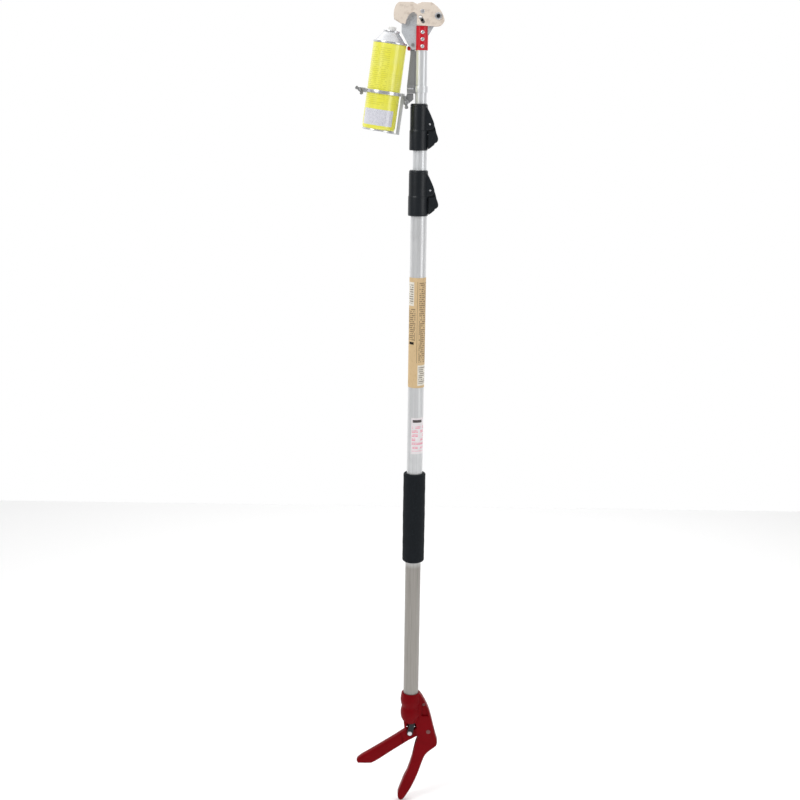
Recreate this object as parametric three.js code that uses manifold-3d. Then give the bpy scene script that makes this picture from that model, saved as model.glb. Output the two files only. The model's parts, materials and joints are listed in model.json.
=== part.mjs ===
// A telescoping hand pole with a squeeze trigger at the foot and, at its head,
// a rocker that presses the valve of an aerosol can held beside the pole.
//
// Millimetres, +Z up along the pole, +X towards the fixed handle and the clamp
// levers, -X towards the trigger and the can. The origin is the middle of the
// foam grip, on the pole's axis. Everything is drawn with the pole collapsed,
// both clamps shut and the trigger released.

import * as THREE from 'three';
import { mergeVertices } from 'three/addons/utils/BufferGeometryUtils.js';
import Module from 'manifold-3d';

const wasm = await Module();
wasm.setup();

// ---- driving dimensions ---------------------------------------------------

const GAP = 0.3;                  // clearance kept between neighbouring pieces
const TUBE_SIDES = 20;            // facets round every tube
const FINE_SIDES = 10;            // facets round pins, bolts and rivets

const OUTER_R = 16.5;             // the three pole tubes, outside radii
const MIDDLE_R = 14;
const INNER_R = 11.75;
const TUBE_WALL = 1.2;

const OUTER_FOOT_Z = -455;        // where each tube starts and ends
const OUTER_TOP_Z = 684;
const MIDDLE_FOOT_Z = -405;
const MIDDLE_TOP_Z = 814;
const INNER_FOOT_Z = -350;
const INNER_TOP_Z = 1013;

const GRIP_R = 23.5;              // foam grip
const GRIP_FOOT_Z = -96;
const GRIP_TOP_Z = 102;
const GRIP_ROUND = 5;

const LEVER_PIVOT = [40.1, -497];     // trigger pivot, X and Z
const LINK_PIN = [-1, -502.5];        // pin that joins the trigger to the links
const ROD_PIN = [6, -473.5];          // pin at the foot of the pull rod
const SHELL_HALF = 12;                // half the handle's width
const SHELL_WALL = 2.6;
const LEVER_HALF = 9;                 // half the trigger's width where it is held
const LEVER_HUB_HALF = 6.2;           // and where it runs between the shells

const CLAMP_TOP_TO_STEP = 51.5;   // flip-lever clamp, measured down from its top
const CLAMP_LENGTH = 91;
const CLAMP_PIN_DROP = 39.5;

const ROCKER_PIVOT = [31.3, 1032.5];  // rocker pivot, X and Z
const PULL_PIN = [0, 1025];           // pin at the top of the pull rod
const BRACKET_HALF = 6.3;             // half the head bracket's thickness
const CHEEK_INNER = 13.1;             // the rocker's cheeks, from the mid-plane
const CHEEK_OUTER = 15.6;
const SLEEVE_FOOT_Z = 968;
const SLEEVE_TOP_Z = 1014;

const CAN_R = 33;                 // aerosol can
const CAN_TILT = THREE.MathUtils.degToRad(7.5);
const CAN_RING = [-74.6, 884.5];  // where the can's axis meets the holding ring
const CAN_FOOT = -73;             // along the can's axis, from the ring
const CAN_SHOULDER = 95.5;
const CAN_TOP = 121.6;

const TILT_PIVOT = [46.5, -10.4];   // holder's tilt bolt, in the can's own frame

// ---- colours --------------------------------------------------------------

const finish = (color, roughness, metalness = 0) => ({ color, roughness, metalness });
const SILVER = finish(0xc9cbcc, 0.35, 0.9);
const STEEL = finish(0xb9bcbd, 0.3, 1);
const DARK_STEEL = finish(0x5a5d60, 0.45, 0.8);
const CAST = finish(0xa9aca8, 0.6, 0.5);
const RED = finish(0x7a1119, 0.45);
const BRIGHT_RED = finish(0xb4101f, 0.4);
const BLACK = finish(0x1c1f22, 0.5);
const FOAM = finish(0x0a1116, 0.95);
const BEIGE = finish(0xdbcfc0, 0.55);
const KRAFT = finish(0xc8ad83, 0.85);
const LABEL_WHITE = finish(0xe6dcdc, 0.7);
const YELLOW = finish(0xe9e35a, 0.3);
const WHITE = finish(0xf0f0ee, 0.5);

// ---- solids: closed meshes in, closed meshes out --------------------------

function solidOf(geometry) {
  const bare = geometry.index ? geometry.toNonIndexed() : geometry.clone();
  for (const name of Object.keys(bare.attributes)) {
    if (name !== 'position') bare.deleteAttribute(name);
  }
  const merged = mergeVertices(bare, 1e-4);
  return new wasm.Manifold(new wasm.Mesh({
    numProp: 3,
    vertProperties: new Float32Array(merged.attributes.position.array),
    triVerts: new Uint32Array(merged.index.array),
  }));
}

function geometryOf(solid) {
  const mesh = solid.getMesh();
  const geometry = new THREE.BufferGeometry();
  geometry.setAttribute('position', new THREE.BufferAttribute(mesh.vertProperties, 3));
  geometry.setIndex(new THREE.BufferAttribute(mesh.triVerts, 1));
  geometry.computeVertexNormals();
  return geometry;
}

const joined = (solids) => solids.reduce((all, next) => all.add(next));
const cut = (solid, ...tools) => tools.reduce((rest, tool) => rest.subtract(tool), solid);

function box(x, y, z) {
  const geometry = new THREE.BoxGeometry(x[1] - x[0], y[1] - y[0], z[1] - z[0]);
  geometry.translate((x[0] + x[1]) / 2, (y[0] + y[1]) / 2, (z[0] + z[1]) / 2);
  return solidOf(geometry);
}

// A solid of revolution about Z, from [radius, z] points that close on themselves
// or start and end on the axis.
function turned(profile, sides = TUBE_SIDES) {
  const points = profile.map(([r, z]) => new THREE.Vector2(r, z));
  if (profile[0][0] > 0) points.push(points[0].clone());
  const geometry = new THREE.LatheGeometry(points, sides);
  geometry.rotateX(Math.PI / 2);
  const solid = solidOf(geometry);
  return solid.volume() > 0 ? solid : solidOf(flipped(geometry));
}

function flipped(geometry) {
  const index = geometry.index.array;
  for (let i = 0; i < index.length; i += 3) {
    const kept = index[i];
    index[i] = index[i + 1];
    index[i + 1] = kept;
  }
  return geometry;
}

const disc = (r, z0, z1, sides = TUBE_SIDES) =>
  turned([[0, z0], [r, z0], [r, z1], [0, z1]], sides);

const ring = (inner, outer, z0, z1, sides = TUBE_SIDES) =>
  turned([[inner, z0], [outer, z0], [outer, z1], [inner, z1]], sides);

// The same, about an axis along Y through [x, z].
function pinProfile([x, z], profile, sides = FINE_SIDES) {
  return turned(profile, sides).rotate([-90, 0, 0]).translate([x, 0, z]);
}

const pin = (centre, r, y0, y1, sides = FINE_SIDES) =>
  pinProfile(centre, [[0, y0], [r, y0], [r, y1], [0, y1]], sides);

// A plate in the XZ plane from y0 to y1, with an optional bevel on both faces.
function plate(shape, y0, y1, bevel = 0, curveSegments = 3) {
  const geometry = new THREE.ExtrudeGeometry(shape, {
    depth: y1 - y0 - 2 * bevel,
    bevelEnabled: bevel > 0,
    bevelThickness: bevel,
    bevelSize: bevel,
    bevelOffset: -bevel,
    bevelSegments: 1,
    curveSegments,
  });
  geometry.rotateX(Math.PI / 2);
  geometry.translate(0, y1 - bevel, 0);
  return solidOf(geometry);
}

// An outline through [x, z] points: { line }, { curve } runs in order.
function outline(start, runs) {
  const shape = new THREE.Shape();
  shape.moveTo(start[0], start[1]);
  for (const run of runs) {
    if (run.line) run.line.forEach(([x, z]) => shape.lineTo(x, z));
    if (run.curve) shape.splineThru(run.curve.map(([x, z]) => new THREE.Vector2(x, z)));
  }
  shape.closePath();
  return shape;
}

const polygon = (points) => outline(points[0], [{ line: points.slice(1) }]);

// ---- the scene ------------------------------------------------------------

const pole = new THREE.Group();

function place(name, solid, look, parent = pole) {
  const material = new THREE.MeshStandardMaterial(look);
  const mesh = new THREE.Mesh(geometryOf(solid), material);
  mesh.name = name;
  parent.add(mesh);
  return mesh;
}

// ---- tubes, grip and labels -----------------------------------------------

const tube = (r, z0, z1) => ring(r - TUBE_WALL, r, z0, z1);

// A plug in a tube's foot: a spigot inside it and a flange that slides in the
// next tube out. The pull rod runs through the middle.
function slideBush(tubeR, boreR, footZ) {
  const spigot = tubeR - TUBE_WALL - GAP;
  const flange = boreR - GAP;
  const rodHole = 8;
  return turned([
    [rodHole, footZ - 16], [flange, footZ - 16], [flange, footZ - GAP],
    [spigot, footZ - GAP], [spigot, footZ + 18], [rodHole, footZ + 18],
  ]);
}

const labelCut = OUTER_R + GAP;
const labelFace = labelCut + 0.3;

// A label wrapped on the outer tube between two angles, measured from +X
// towards +Y.
function wrap(z0, z1, from, to) {
  const shape = new THREE.Shape();
  shape.absarc(0, 0, labelFace, from, to, false);
  shape.absarc(0, 0, labelCut, to, from, true);
  const geometry = new THREE.ExtrudeGeometry(shape, {
    depth: z1 - z0, bevelEnabled: false, curveSegments: 14,
  });
  geometry.translate(0, 0, z0);
  return solidOf(geometry);
}

function foamGrip() {
  const inner = OUTER_R + GAP;
  const corner = (z, turn) => [0, 1, 2].map((step) => {
    const angle = (step / 2) * (Math.PI / 2);
    const out = turn > 0 ? Math.cos(angle) : Math.sin(angle);
    const up = turn > 0 ? Math.sin(angle) : -Math.cos(angle);
    return [GRIP_R - GRIP_ROUND + GRIP_ROUND * out, z + GRIP_ROUND * up];
  });
  return turned([
    [inner, GRIP_FOOT_Z],
    ...corner(GRIP_FOOT_Z + GRIP_ROUND, -1),
    ...corner(GRIP_TOP_Z - GRIP_ROUND, 1),
    [inner, GRIP_TOP_Z],
  ]);
}

const RIVET_X = 1.2;
const RIVET_HEIGHTS = [1002.2, 988.8, 975.4];
const RIVET_SHANK = 2;
const rivetHoles = RIVET_HEIGHTS.map((z) => pin([RIVET_X, z], RIVET_SHANK + GAP, -20, -6));

place('outer_tube', tube(OUTER_R, OUTER_FOOT_Z, OUTER_TOP_Z), SILVER);
place('middle_tube', tube(MIDDLE_R, MIDDLE_FOOT_Z, MIDDLE_TOP_Z), SILVER);
place('inner_tube', cut(tube(INNER_R, INNER_FOOT_Z, INNER_TOP_Z), ...rivetHoles), SILVER);
place('middle_tube_bush', slideBush(MIDDLE_R, OUTER_R - TUBE_WALL, MIDDLE_FOOT_Z), BLACK);
place('inner_tube_bush', slideBush(INNER_R, MIDDLE_R - TUBE_WALL, INNER_FOOT_Z), BLACK);
place('foam_grip', foamGrip(), FOAM);
place('instruction_label', wrap(290, 520, -Math.PI * 0.99, Math.PI * 0.9), KRAFT);
place('caution_label', wrap(147, 226, -Math.PI * 0.68, -Math.PI * 0.1), LABEL_WHITE);

// ---- pull rods, nested like the tubes -------------------------------------

const ROD_LOWER_R = 7.5;
const ROD_MIDDLE_R = 5.9;
const ROD_UPPER_R = 4.2;
const ROD_WALL = 1.3;
const ROD_PIN_R = 2;
const ROD_END_TOP_Z = -458;

function lowerRod() {
  const rod = ring(ROD_LOWER_R - ROD_WALL, ROD_LOWER_R, ROD_END_TOP_Z - 1, 560, FINE_SIDES);
  const foot = box([-7, 12], [-6.5, 6.5], [ROD_PIN[1] - 7, ROD_END_TOP_Z]);
  return cut(rod.add(foot), pin(ROD_PIN, ROD_PIN_R + GAP, -9, 9));
}

function upperRod() {
  const rod = disc(ROD_UPPER_R, -240, PULL_PIN[1] + 4, FINE_SIDES);
  return cut(rod, pin(PULL_PIN, 1.8 + 0.2, -9, 9));
}

place('pull_rod_lower', lowerRod(), SILVER);
place('pull_rod_middle',
  ring(ROD_MIDDLE_R - ROD_WALL, ROD_MIDDLE_R, -300, 730, FINE_SIDES), SILVER);
place('pull_rod_upper', upperRod(), SILVER);
place('rod_pin', pinProfile(ROD_PIN, [
  [0, -11.5], [3.2, -11.5], [3.2, -10.8], [ROD_PIN_R, -10.8],
  [ROD_PIN_R, 10.8], [3.2, 10.8], [3.2, 11.5], [0, 11.5],
]), STEEL);
place('pull_pin', pin(PULL_PIN, 1.8, -14.2, 15.4), STEEL);

// ---- handle ---------------------------------------------------------------

const SOCKET_TOP_Z = -406;
const SCREW_AT = [29.1, -432.5];

// The moulded collar round the foot of the outer tube, pinched at its waist.
const socketProfile = [
  [0, -479], [12, -479], [15, -476], [20.5, -466], [22.3, -455], [21.6, -447],
  [19.8, -438.5], [21.6, -430], [22.8, -424], [21.6, -414], [20, SOCKET_TOP_Z],
  [0, SOCKET_TOP_Z],
];

const handleOutline = outline([6, SOCKET_TOP_Z], [
  { line: [[18.6, SOCKET_TOP_Z]] },
  { curve: [[27, -418], [38, -440], [45.6, -464], [52.4, -493], [57.6, -512]] },
  { curve: [[60.4, -522], [58.6, -532.5], [50.6, -540]] },
  { curve: [[39, -550], [30.6, -564], [18.4, -601], [5, -634], [-8, -657.5]] },
  { curve: [[-14.4, -666], [-20, -668.4], [-25.6, -664], [-26.6, -652]] },
  { curve: [[-14.8, -618], [-4.7, -594], [4.6, -562], [10.6, -533], [17, -513]] },
  { line: [[12, -500], [9, -481], [-4, -467]] },
]);

// The thin web of the shells to the left of the links.
const linkGuard = polygon([[-15, -474], [-8.3, -474], [-8.3, -491], [-13, -491]]);

// The far shell's wall behind the links; the near shell is open there.
const linkWall = polygon([[-13.5, -470], [14, -470], [14, -496.5], [-10, -496.5], [-13, -491]]);
const LINK_WALL_OUTER = 14;

const handleHollow = polygon([
  [22, -525], [46, -525], [38, -541], [27, -558], [13, -599], [0, -629],
  [-12, -651], [-19, -655], [-7, -618], [3, -592], [13, -560],
]);

const pocketOutline = polygon([[24, -416], [28, -418], [36.5, -441], [39.5, -459], [24, -459]]);

const PIVOT_PIN_R = 4;
const SPRING_OUTER = 9;
const LINK_ROOM = 11.8;

function handleSolid() {
  const collar = turned(socketProfile);
  const body = plate(handleOutline, -SHELL_HALF, SHELL_HALF, 2.5, 2);
  const pocket = SHELL_HALF - 3.5;
  const leverSweep = polygon([
    [-30, -464], [9.5, -478], [30, -484], [40, -481], [54, -490], [54, -509], [41, -514],
    [24, -529], [12, -556], [-60, -556],
  ]);
  const hub = LEVER_HUB_HALF + 0.6;
  return cut(
    joined([collar, body, plate(linkGuard, -SHELL_HALF, SHELL_HALF)]),
    disc(OUTER_R + GAP, OUTER_FOOT_Z - 1, SOCKET_TOP_Z + 5),
    box([-10, 15], [-LINK_ROOM, LINK_ROOM], [-490, OUTER_FOOT_Z - 0.9]),
    box([-15, 9.7], [-LINK_ROOM, LINK_ROOM], [-516, -479]).subtract(
      box([-16, -8.3], [-13, 13], [-498, -474])),
    plate(leverSweep, -hub, hub),
    pin(LEVER_PIVOT, SPRING_OUTER + 0.6, -11, 11),
    plate(handleHollow, -SHELL_HALF + SHELL_WALL, SHELL_HALF - SHELL_WALL),
    plate(pocketOutline, -SHELL_HALF - 1, -pocket),
    plate(pocketOutline, pocket, SHELL_HALF + 1),
    pin(LEVER_PIVOT, PIVOT_PIN_R + GAP, -14, 14),
    pin(SCREW_AT, 2 + GAP, -14, 14),
  );
}

const wholeHandle = handleSolid();
const nearSide = box([-90, 90], [-40, -0.15], [-700, -380]);
const farSide = box([-90, 90], [0.15, 40], [-700, -380]);
const largest = (solid) => solid.decompose().reduce(
  (best, next) => (next.volume() > best.volume() ? next : best));

place('handle_shell_near', largest(wholeHandle.intersect(nearSide)), RED);
place('handle_shell_far', largest(wholeHandle.intersect(farSide).add(
  plate(linkWall, LINK_ROOM + 0.2, LINK_WALL_OUTER))), RED);
place('shell_screw', pinProfile(SCREW_AT, [
  [0, -9.6], [3.3, -9.6], [3.3, -8.8], [2, -8.8], [2, 8.8], [3.3, 8.8], [3.3, 9.6], [0, 9.6],
]), STEEL);
place('trigger_pivot_pin', pinProfile(LEVER_PIVOT, [
  [0, -13.2], [3.4, -13.2], [4.8, -12.3], [PIVOT_PIN_R, -12.3],
  [PIVOT_PIN_R, 12.3], [4.8, 12.3], [3.4, 13.2], [0, 13.2],
]), STEEL);
place('trigger_spring', pinProfile(LEVER_PIVOT, [
  [PIVOT_PIN_R + 0.6, 7.4], [SPRING_OUTER, 7.4], [SPRING_OUTER, 10.6],
  [PIVOT_PIN_R + 0.6, 10.6],
]), STEEL);

// ---- trigger --------------------------------------------------------------

const LINK_PIN_R = 2.5;
const LINK_INNER = 7.3;
const LINK_OUTER = 10.3;

const leverBody = outline([-14.5, -498], [
  { line: [[-23, -504]] },
  { curve: [[-52, -524], [-84.9, -546], [-108, -561]] },
  { line: [[-117.5, -569.5], [-119.6, -573.5], [-117, -579.4], [-86.5, -579]] },
  { curve: [[-71.5, -570], [-44.6, -550.5], [-14.5, -529]] },
]);

const leverNeck = outline([-30, -509], [
  { line: [[-14, -497.5], [-8, -494], [8, -494.5], [22, -491], [30, -487.5]] },
  { line: [[30, -504], [14.4, -511], [-4.5, -522], [-19.6, -532.6], [-30, -539.5]] },
]);

const HUB_R = 11.5;

function triggerLever() {
  return cut(
    joined([
      plate(leverBody, -LEVER_HALF, LEVER_HALF, 2, 2),
      plate(leverNeck, -LEVER_HUB_HALF, LEVER_HUB_HALF),
      pin(LEVER_PIVOT, HUB_R, -LEVER_HUB_HALF, LEVER_HUB_HALF),
    ]),
    pin(LEVER_PIVOT, PIVOT_PIN_R + GAP, -14, 14),
    pin(LINK_PIN, LINK_PIN_R + GAP, -14, 14),
  );
}

// A flat link with an eye at each end.
function linkPlate(y0, y1) {
  const run = [LINK_PIN[0] - ROD_PIN[0], LINK_PIN[1] - ROD_PIN[1]];
  const length = Math.hypot(...run);
  const side = [-run[1] / length * 3.4, run[0] / length * 3.4];
  const bar = polygon([
    [ROD_PIN[0] + side[0], ROD_PIN[1] + side[1]],
    [LINK_PIN[0] + side[0], LINK_PIN[1] + side[1]],
    [LINK_PIN[0] - side[0], LINK_PIN[1] - side[1]],
    [ROD_PIN[0] - side[0], ROD_PIN[1] - side[1]],
  ]);
  return cut(
    joined([
      plate(bar, y0, y1),
      pin(ROD_PIN, 4.6, y0, y1),
      pin(LINK_PIN, 6.5, y0, y1),
    ]),
    pin(ROD_PIN, ROD_PIN_R + 0.4, -14, 14),
    pin(LINK_PIN, LINK_PIN_R + 0.5, -14, 14),
  );
}

place('trigger_lever', triggerLever(), RED);
place('pull_link_near', linkPlate(-LINK_OUTER, -LINK_INNER), BLACK);
place('pull_link_far', linkPlate(LINK_INNER, LINK_OUTER), BLACK);
place('link_pin', pinProfile(LINK_PIN, [
  [0, -12.4], [3.6, -12.4], [4.9, -11.6], [4.9, -10.7], [LINK_PIN_R, -10.7],
  [LINK_PIN_R, 10.7], [4.9, 10.7], [4.9, 11.6], [3.6, 12.4], [0, 12.4],
]), STEEL);

// ---- flip-lever clamps ----------------------------------------------------

const CHEEK_HALF = 11;
const HUB_SLOT_HALF = 6;

// One clamp: its body is fixed on the end of the tube of radius heldR and
// squeezes the tube of radius slidR. x moves the lever out with the tube.
function clamp(name, top, slidR, heldR, x, left, right) {
  const centre = (left + right) / 2;
  const radius = (right - left) / 2;
  const at = (points) => points.map(([px, pz]) => [px + x, pz + top]);
  const pivot = [19 + x, top - CLAMP_PIN_DROP];
  const step = top - CLAMP_TOP_TO_STEP;
  const foot = top - CLAMP_LENGTH;

  const barrel = turned([
    [0, foot], [radius - 1.5, foot], [radius, foot + 3], [radius, step - 1],
    [radius - 0.9, step + 1], [radius - 0.9, top - 6], [0, top - 6],
  ]).translate([centre, 0, 0]);
  const cheeks = plate(polygon(at([
    [0, -6], [12.6, -6], [15.5, -10.5], [19, -18], [26, -33.5], [28, -39.5], [27.4, -45],
    [23, -50], [14, -52], [0, -52],
  ])), -CHEEK_HALF, CHEEK_HALF, 1.2);
  place(`${name}_clamp_body`, cut(
    barrel.add(cheeks),
    disc(slidR + GAP, step - 1, top + 1),
    disc(heldR + GAP, foot - 1, step + GAP),
    box([0, 50], [-HUB_SLOT_HALF, HUB_SLOT_HALF], [top - 51, top - 30]),
    box([slidR + 1.7, 50], [-HUB_SLOT_HALF, HUB_SLOT_HALF], [top - 60, top - 26]),
    pin(pivot, 2 + GAP, -14, 14),
  ).add(box([right - 2.2, right + 2.9], [-6.5, 6.5], [top - 85, top - 62])
    .subtract(disc(heldR + GAP, foot - 1, step))), BLACK);

  place(`${name}_clamp_collar`, turned([
    [slidR + GAP, top - 6 + GAP], [radius - 1.2, top - 6 + GAP], [radius - 1.2, top - 2],
    [radius - 3.2, top], [slidR + GAP, top],
  ]).intersect(disc(radius - 1.2, top - 7, top + 1)
    .translate([centre, 0, 0])), BLACK);

  place(`${name}_clamp_pin`, pin(pivot, 2, -CHEEK_HALF - 0.4, CHEEK_HALF + 0.4), STEEL);

  place(`${name}_brake_shoe`, ring(slidR + GAP, slidR + 1.5, top - 47, top - 32)
    .intersect(box([0, 40], [-5.4, 5.4], [top - 48, top - 31])), BLACK);

  const neck = plate(polygon(at([
    [15.6, -42], [15.6, -60], [33, -60], [31, -51], [28.6, -43.5], [27, -39.8],
  ])), -5.6, 5.6).add(pin(pivot, 5, -5.6, 5.6));
  const paddle = plate(outline(at([[15.9, -53.5]])[0], [
    { line: at([[31, -53.5], [33.4, -59], [35.9, -66.5], [35.9, -71.5], [32.6, -75.5]]) },
    { line: at([[30.4, -74.6], [28.4, -76.2], [28.8, -79.2], [20, -86.5], [15.9, -88.5]]) },
  ]), -10.5, 10.5, 0.8);
  place(`${name}_clamp_lever`, cut(
    neck.add(paddle),
    box([right - 1, right + 3.6], [-7.5, 7.5], [top - 86.5, top - 60]),
    pin(pivot, 2 + GAP, -14, 14),
  ), BLACK);
}

clamp('lower', 736, MIDDLE_R, OUTER_R, 2.9, -22.3, 18.4);
clamp('upper', 866, INNER_R, MIDDLE_R, 0, -21.5, 15.5);

// ---- head: sleeve, rivets, bracket ----------------------------------------

const SLEEVE_R = INNER_R + GAP + 0.6;
const PIVOT_BOLT_R = 4;
const ARM_SCREW = [-17.5, 978];
const BUMPER_Z = 971.4;

// A cylinder along X at height z, in the mid-plane.
const crossPin = (x0, x1, y, z, r, sides = FINE_SIDES) =>
  disc(r, x0, x1, sides).rotate([0, 90, 0]).translate([0, y, z]);

function headBracket() {
  const web = plate(polygon([
    [-40, 1015.5], [-40, 1002], [-26.4, 978], [-18.5, 968.7], [-8, 968.7], [-8, 1000],
    [8, 1000], [13.2, 996.5], [21.6, 1010.6], [27, 1019], [37, 1023], [41, 1032.5],
    [38, 1040], [31.3, 1042.5], [24, 1040], [14, 1029.8], [-8, 1029.8], [-10, 1040],
    [-20, 1041], [-30, 1034],
  ]), -BRACKET_HALF, BRACKET_HALF);
  const spigotR = INNER_R - TUBE_WALL - GAP;
  return cut(
    cut(web, disc(SLEEVE_R + GAP, 960, SLEEVE_TOP_Z + GAP)).add(joined([
      disc(spigotR, 966, SLEEVE_TOP_Z + 2),
      pin(ROCKER_PIVOT, 8.5, -CHEEK_INNER + GAP, CHEEK_INNER - GAP),
    ])),
    disc(ROD_UPPER_R + 0.4, 960, 1040, FINE_SIDES),
    box([-2.4, 2.4], [-20, 20], [1017.3, 1027.2]),
    pin(ROCKER_PIVOT, PIVOT_BOLT_R + GAP, -20, 20),
    box([-32, -11.5], [-2.9, 2.9], [960, 986.5]),
    crossPin(-40, -10, 0, BUMPER_Z, 4.6),
    pin(ARM_SCREW, 2 + GAP, -9, 9),
    ...rivetHoles,
  );
}

place('head_sleeve', cut(ring(INNER_R + GAP, SLEEVE_R, SLEEVE_FOOT_Z, SLEEVE_TOP_Z),
  ...rivetHoles), BRIGHT_RED);
RIVET_HEIGHTS.forEach((z, i) => place(`head_rivet_${i + 1}`, pinProfile([RIVET_X, z], [
  [0, -14.8], [1.8, -14.5], [3.2, -13.8], [3.7, -12.95], [RIVET_SHANK, -12.95],
  [RIVET_SHANK, -6.8], [0, -6.8],
], 12), STEEL));
place('head_bracket', largest(headBracket()), CAST);

// ---- rocker ---------------------------------------------------------------

const RIVET_AT = [0.5, 1041];
const slotAxis = [[-5.3 + 1.8, 1033.7 - 3], [3.8 - 1.8, 1018.8 + 3]];

const cheekOutline = outline([-45, 1058], [
  { curve: [[-51, 1053], [-54.8, 1043], [-55.6, 1033], [-54.4, 1026.4]] },
  { line: [[-41.8, 1019], [-32.8, 1016.4]] },
  { curve: [[-29.2, 1028], [-23.3, 1036.6], [-16, 1039], [-10.4, 1034]] },
  { line: [[-10.4, 1014.6], [12.3, 1013.6]] },
  { curve: [[31, 1013.8], [39.5, 1017.5], [43.4, 1026], [36.4, 1042], [25, 1053.4], [17, 1058]] },
  { line: [[-1, 1058]] },
  { curve: [[-6, 1056], [-10, 1054.8], [-14, 1056], [-18.4, 1058]] },
]);

function slotThrough([[x0, z0], [x1, z1]], r) {
  const length = Math.hypot(x1 - x0, z1 - z0);
  const side = [(z1 - z0) / length * r, -(x1 - x0) / length * r];
  return joined([
    pin([x0, z0], r, -20, 20),
    pin([x1, z1], r, -20, 20),
    plate(polygon([
      [x0 + side[0], z0 + side[1]], [x1 + side[0], z1 + side[1]],
      [x1 - side[0], z1 - side[1]], [x0 - side[0], z0 - side[1]],
    ]), -20, 20),
  ]);
}

const rockerCheek = (y0, y1) => cut(
  plate(cheekOutline, y0, y1, 0, 2),
  slotThrough(slotAxis, 3.5),
  pin(ROCKER_PIVOT, PIVOT_BOLT_R + 0.35, -20, 20),
  pin(RIVET_AT, 2.5 + GAP, -20, 20),
);

place('rocker_cheek_near', rockerCheek(-CHEEK_OUTER, -CHEEK_INNER), BEIGE);
place('rocker_cheek_far', rockerCheek(CHEEK_INNER, CHEEK_OUTER), BEIGE);
place('presser_block', plate(polygon([
  [-54.2, 1027.5], [-45, 1026.5], [-44, 1046], [-51, 1046], [-54, 1038],
]), -CHEEK_INNER + GAP, CHEEK_INNER - GAP), BEIGE);
place('rocker_rivet', pinProfile(RIVET_AT, [
  [0, -17.4], [2.6, -17], [4, -15.9], [2.5, -15.9], [2.5, 15.9], [4, 15.9],
  [2.6, 17], [0, 17.4],
], 12), STEEL);
place('rocker_bolt', cut(pinProfile(ROCKER_PIVOT, [
  [0, -19.2], [6.2, -19.2], [7, -18.4], [7, -15.9], [PIVOT_BOLT_R, -15.9],
  [PIVOT_BOLT_R, 15.9], [7, 15.9], [7, 19], [0, 19],
]), pin(ROCKER_PIVOT, 3.9, -20, -16.8, 6)), STEEL);

// ---- holder: arm, band and tilt bracket -----------------------------------

const BAND_FOOT_Z = 887.5;
const BAND_TOP_Z = 900;
const BAND_R = INNER_R + GAP + 1.6;
const canPoint = ([x, w]) => [
  CAN_RING[0] + x * Math.cos(CAN_TILT) + w * Math.sin(CAN_TILT),
  CAN_RING[1] - x * Math.sin(CAN_TILT) + w * Math.cos(CAN_TILT),
];
const TILT_AT = canPoint(TILT_PIVOT);
const TILT_BOLT_R = 2;

function holderArm() {
  const bar = plate(polygon([
    [-21.4, 966.5], [-27.7, 901.5], [-27.7, 885.2], [-11.4, 885.2], [-11.4, 966.5],
  ]), -4.5, 4.5);
  return cut(
    joined([
      bar,
      box([-22, -13.2], [-2.5, 2.5], [960, 985.8]),
      box([-27.8, -11.4], [-8, 8], [885.2, 902]),
    ]),
    disc(BAND_R + GAP, BAND_FOOT_Z - GAP, BAND_TOP_Z + GAP),
    disc(INNER_R + GAP, 880, 990),
    crossPin(-24, -13, 0, BUMPER_Z, 1.6 + GAP),
    crossPin(-29, -10, -7.4, 894.7, 1.7 + GAP),
    crossPin(-40, -21.6, 0, BUMPER_Z, 4.6),
    pin(ARM_SCREW, 2 + GAP, -9, 9),
  );
}

place('holder_arm', largest(holderArm()), DARK_STEEL);
place('arm_screw', pinProfile(ARM_SCREW, [
  [0, -8.6], [3, -8.4], [3.4, -6.6], [2, -6.6], [2, 6.6], [3.4, 6.6], [3.4, 8.2], [0, 8.2],
], 12), DARK_STEEL);
place('bumper_stud', crossPin(-21.4, -15, 0, BUMPER_Z, 1.6, 12), DARK_STEEL);
place('can_bumper', crossPin(-28.4, -21.8, 0, BUMPER_Z, 4.2), BRIGHT_RED);
place('tube_band', ring(INNER_R + GAP, BAND_R, BAND_FOOT_Z, BAND_TOP_Z), SILVER);
place('band_bolt', crossPin(-27, -14.9, -7.4, 894.7, 1.7, 12), STEEL);

place('tilt_bracket', cut(
  joined([
    plate(polygon([
      [-27.5, 884.9], [-15, 884.9], [-14.5, 874], [-20, 869], [-26, 864.4], [-33, 869],
    ]), -3.6, 3.6),
    pin(TILT_AT, 5.5, -3.6, 3.6),
  ]),
  pin(TILT_AT, TILT_BOLT_R + GAP, -9, 9),
), DARK_STEEL);
place('tilt_bolt', pinProfile(TILT_AT, [
  [0, -11.4], [TILT_BOLT_R, -11.4], [TILT_BOLT_R, 6.2], [4, 6.2], [4, 9], [0, 9],
], 12), STEEL);

// A nut with two wings in the XZ plane, at two angles; its hub runs from y0 to y1.
function wingNut(centre, y0, y1, angles, reach, boltR) {
  const middle = (y0 + y1) / 2;
  const wing = polygon([
    [2, -2.2], [reach - 3, -3.6], [reach, -1.6], [reach, 1.6], [reach - 3, 3.6], [2, 2.2],
  ]);
  const wings = angles.map((turn) => plate(wing, -1.2, 1.2)
    .rotate([0, -turn, 0]).translate([centre[0], middle, centre[1]]));
  return cut(joined([pin(centre, 4.2, y0, y1, 14), ...wings]),
    pin(centre, boltR + GAP, y0 - 1, y1 + 1, 12));
}

place('tilt_wing_nut', wingNut(TILT_AT, -10.6, -6.2, [105, -80], 13, TILT_BOLT_R), DARK_STEEL);

// ---- can ring and its back channel, in the can's own frame ----------------

const canFrame = new THREE.Group();
canFrame.position.set(CAN_RING[0], 0, CAN_RING[1]);
canFrame.rotation.y = CAN_TILT;
pole.add(canFrame);

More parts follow.
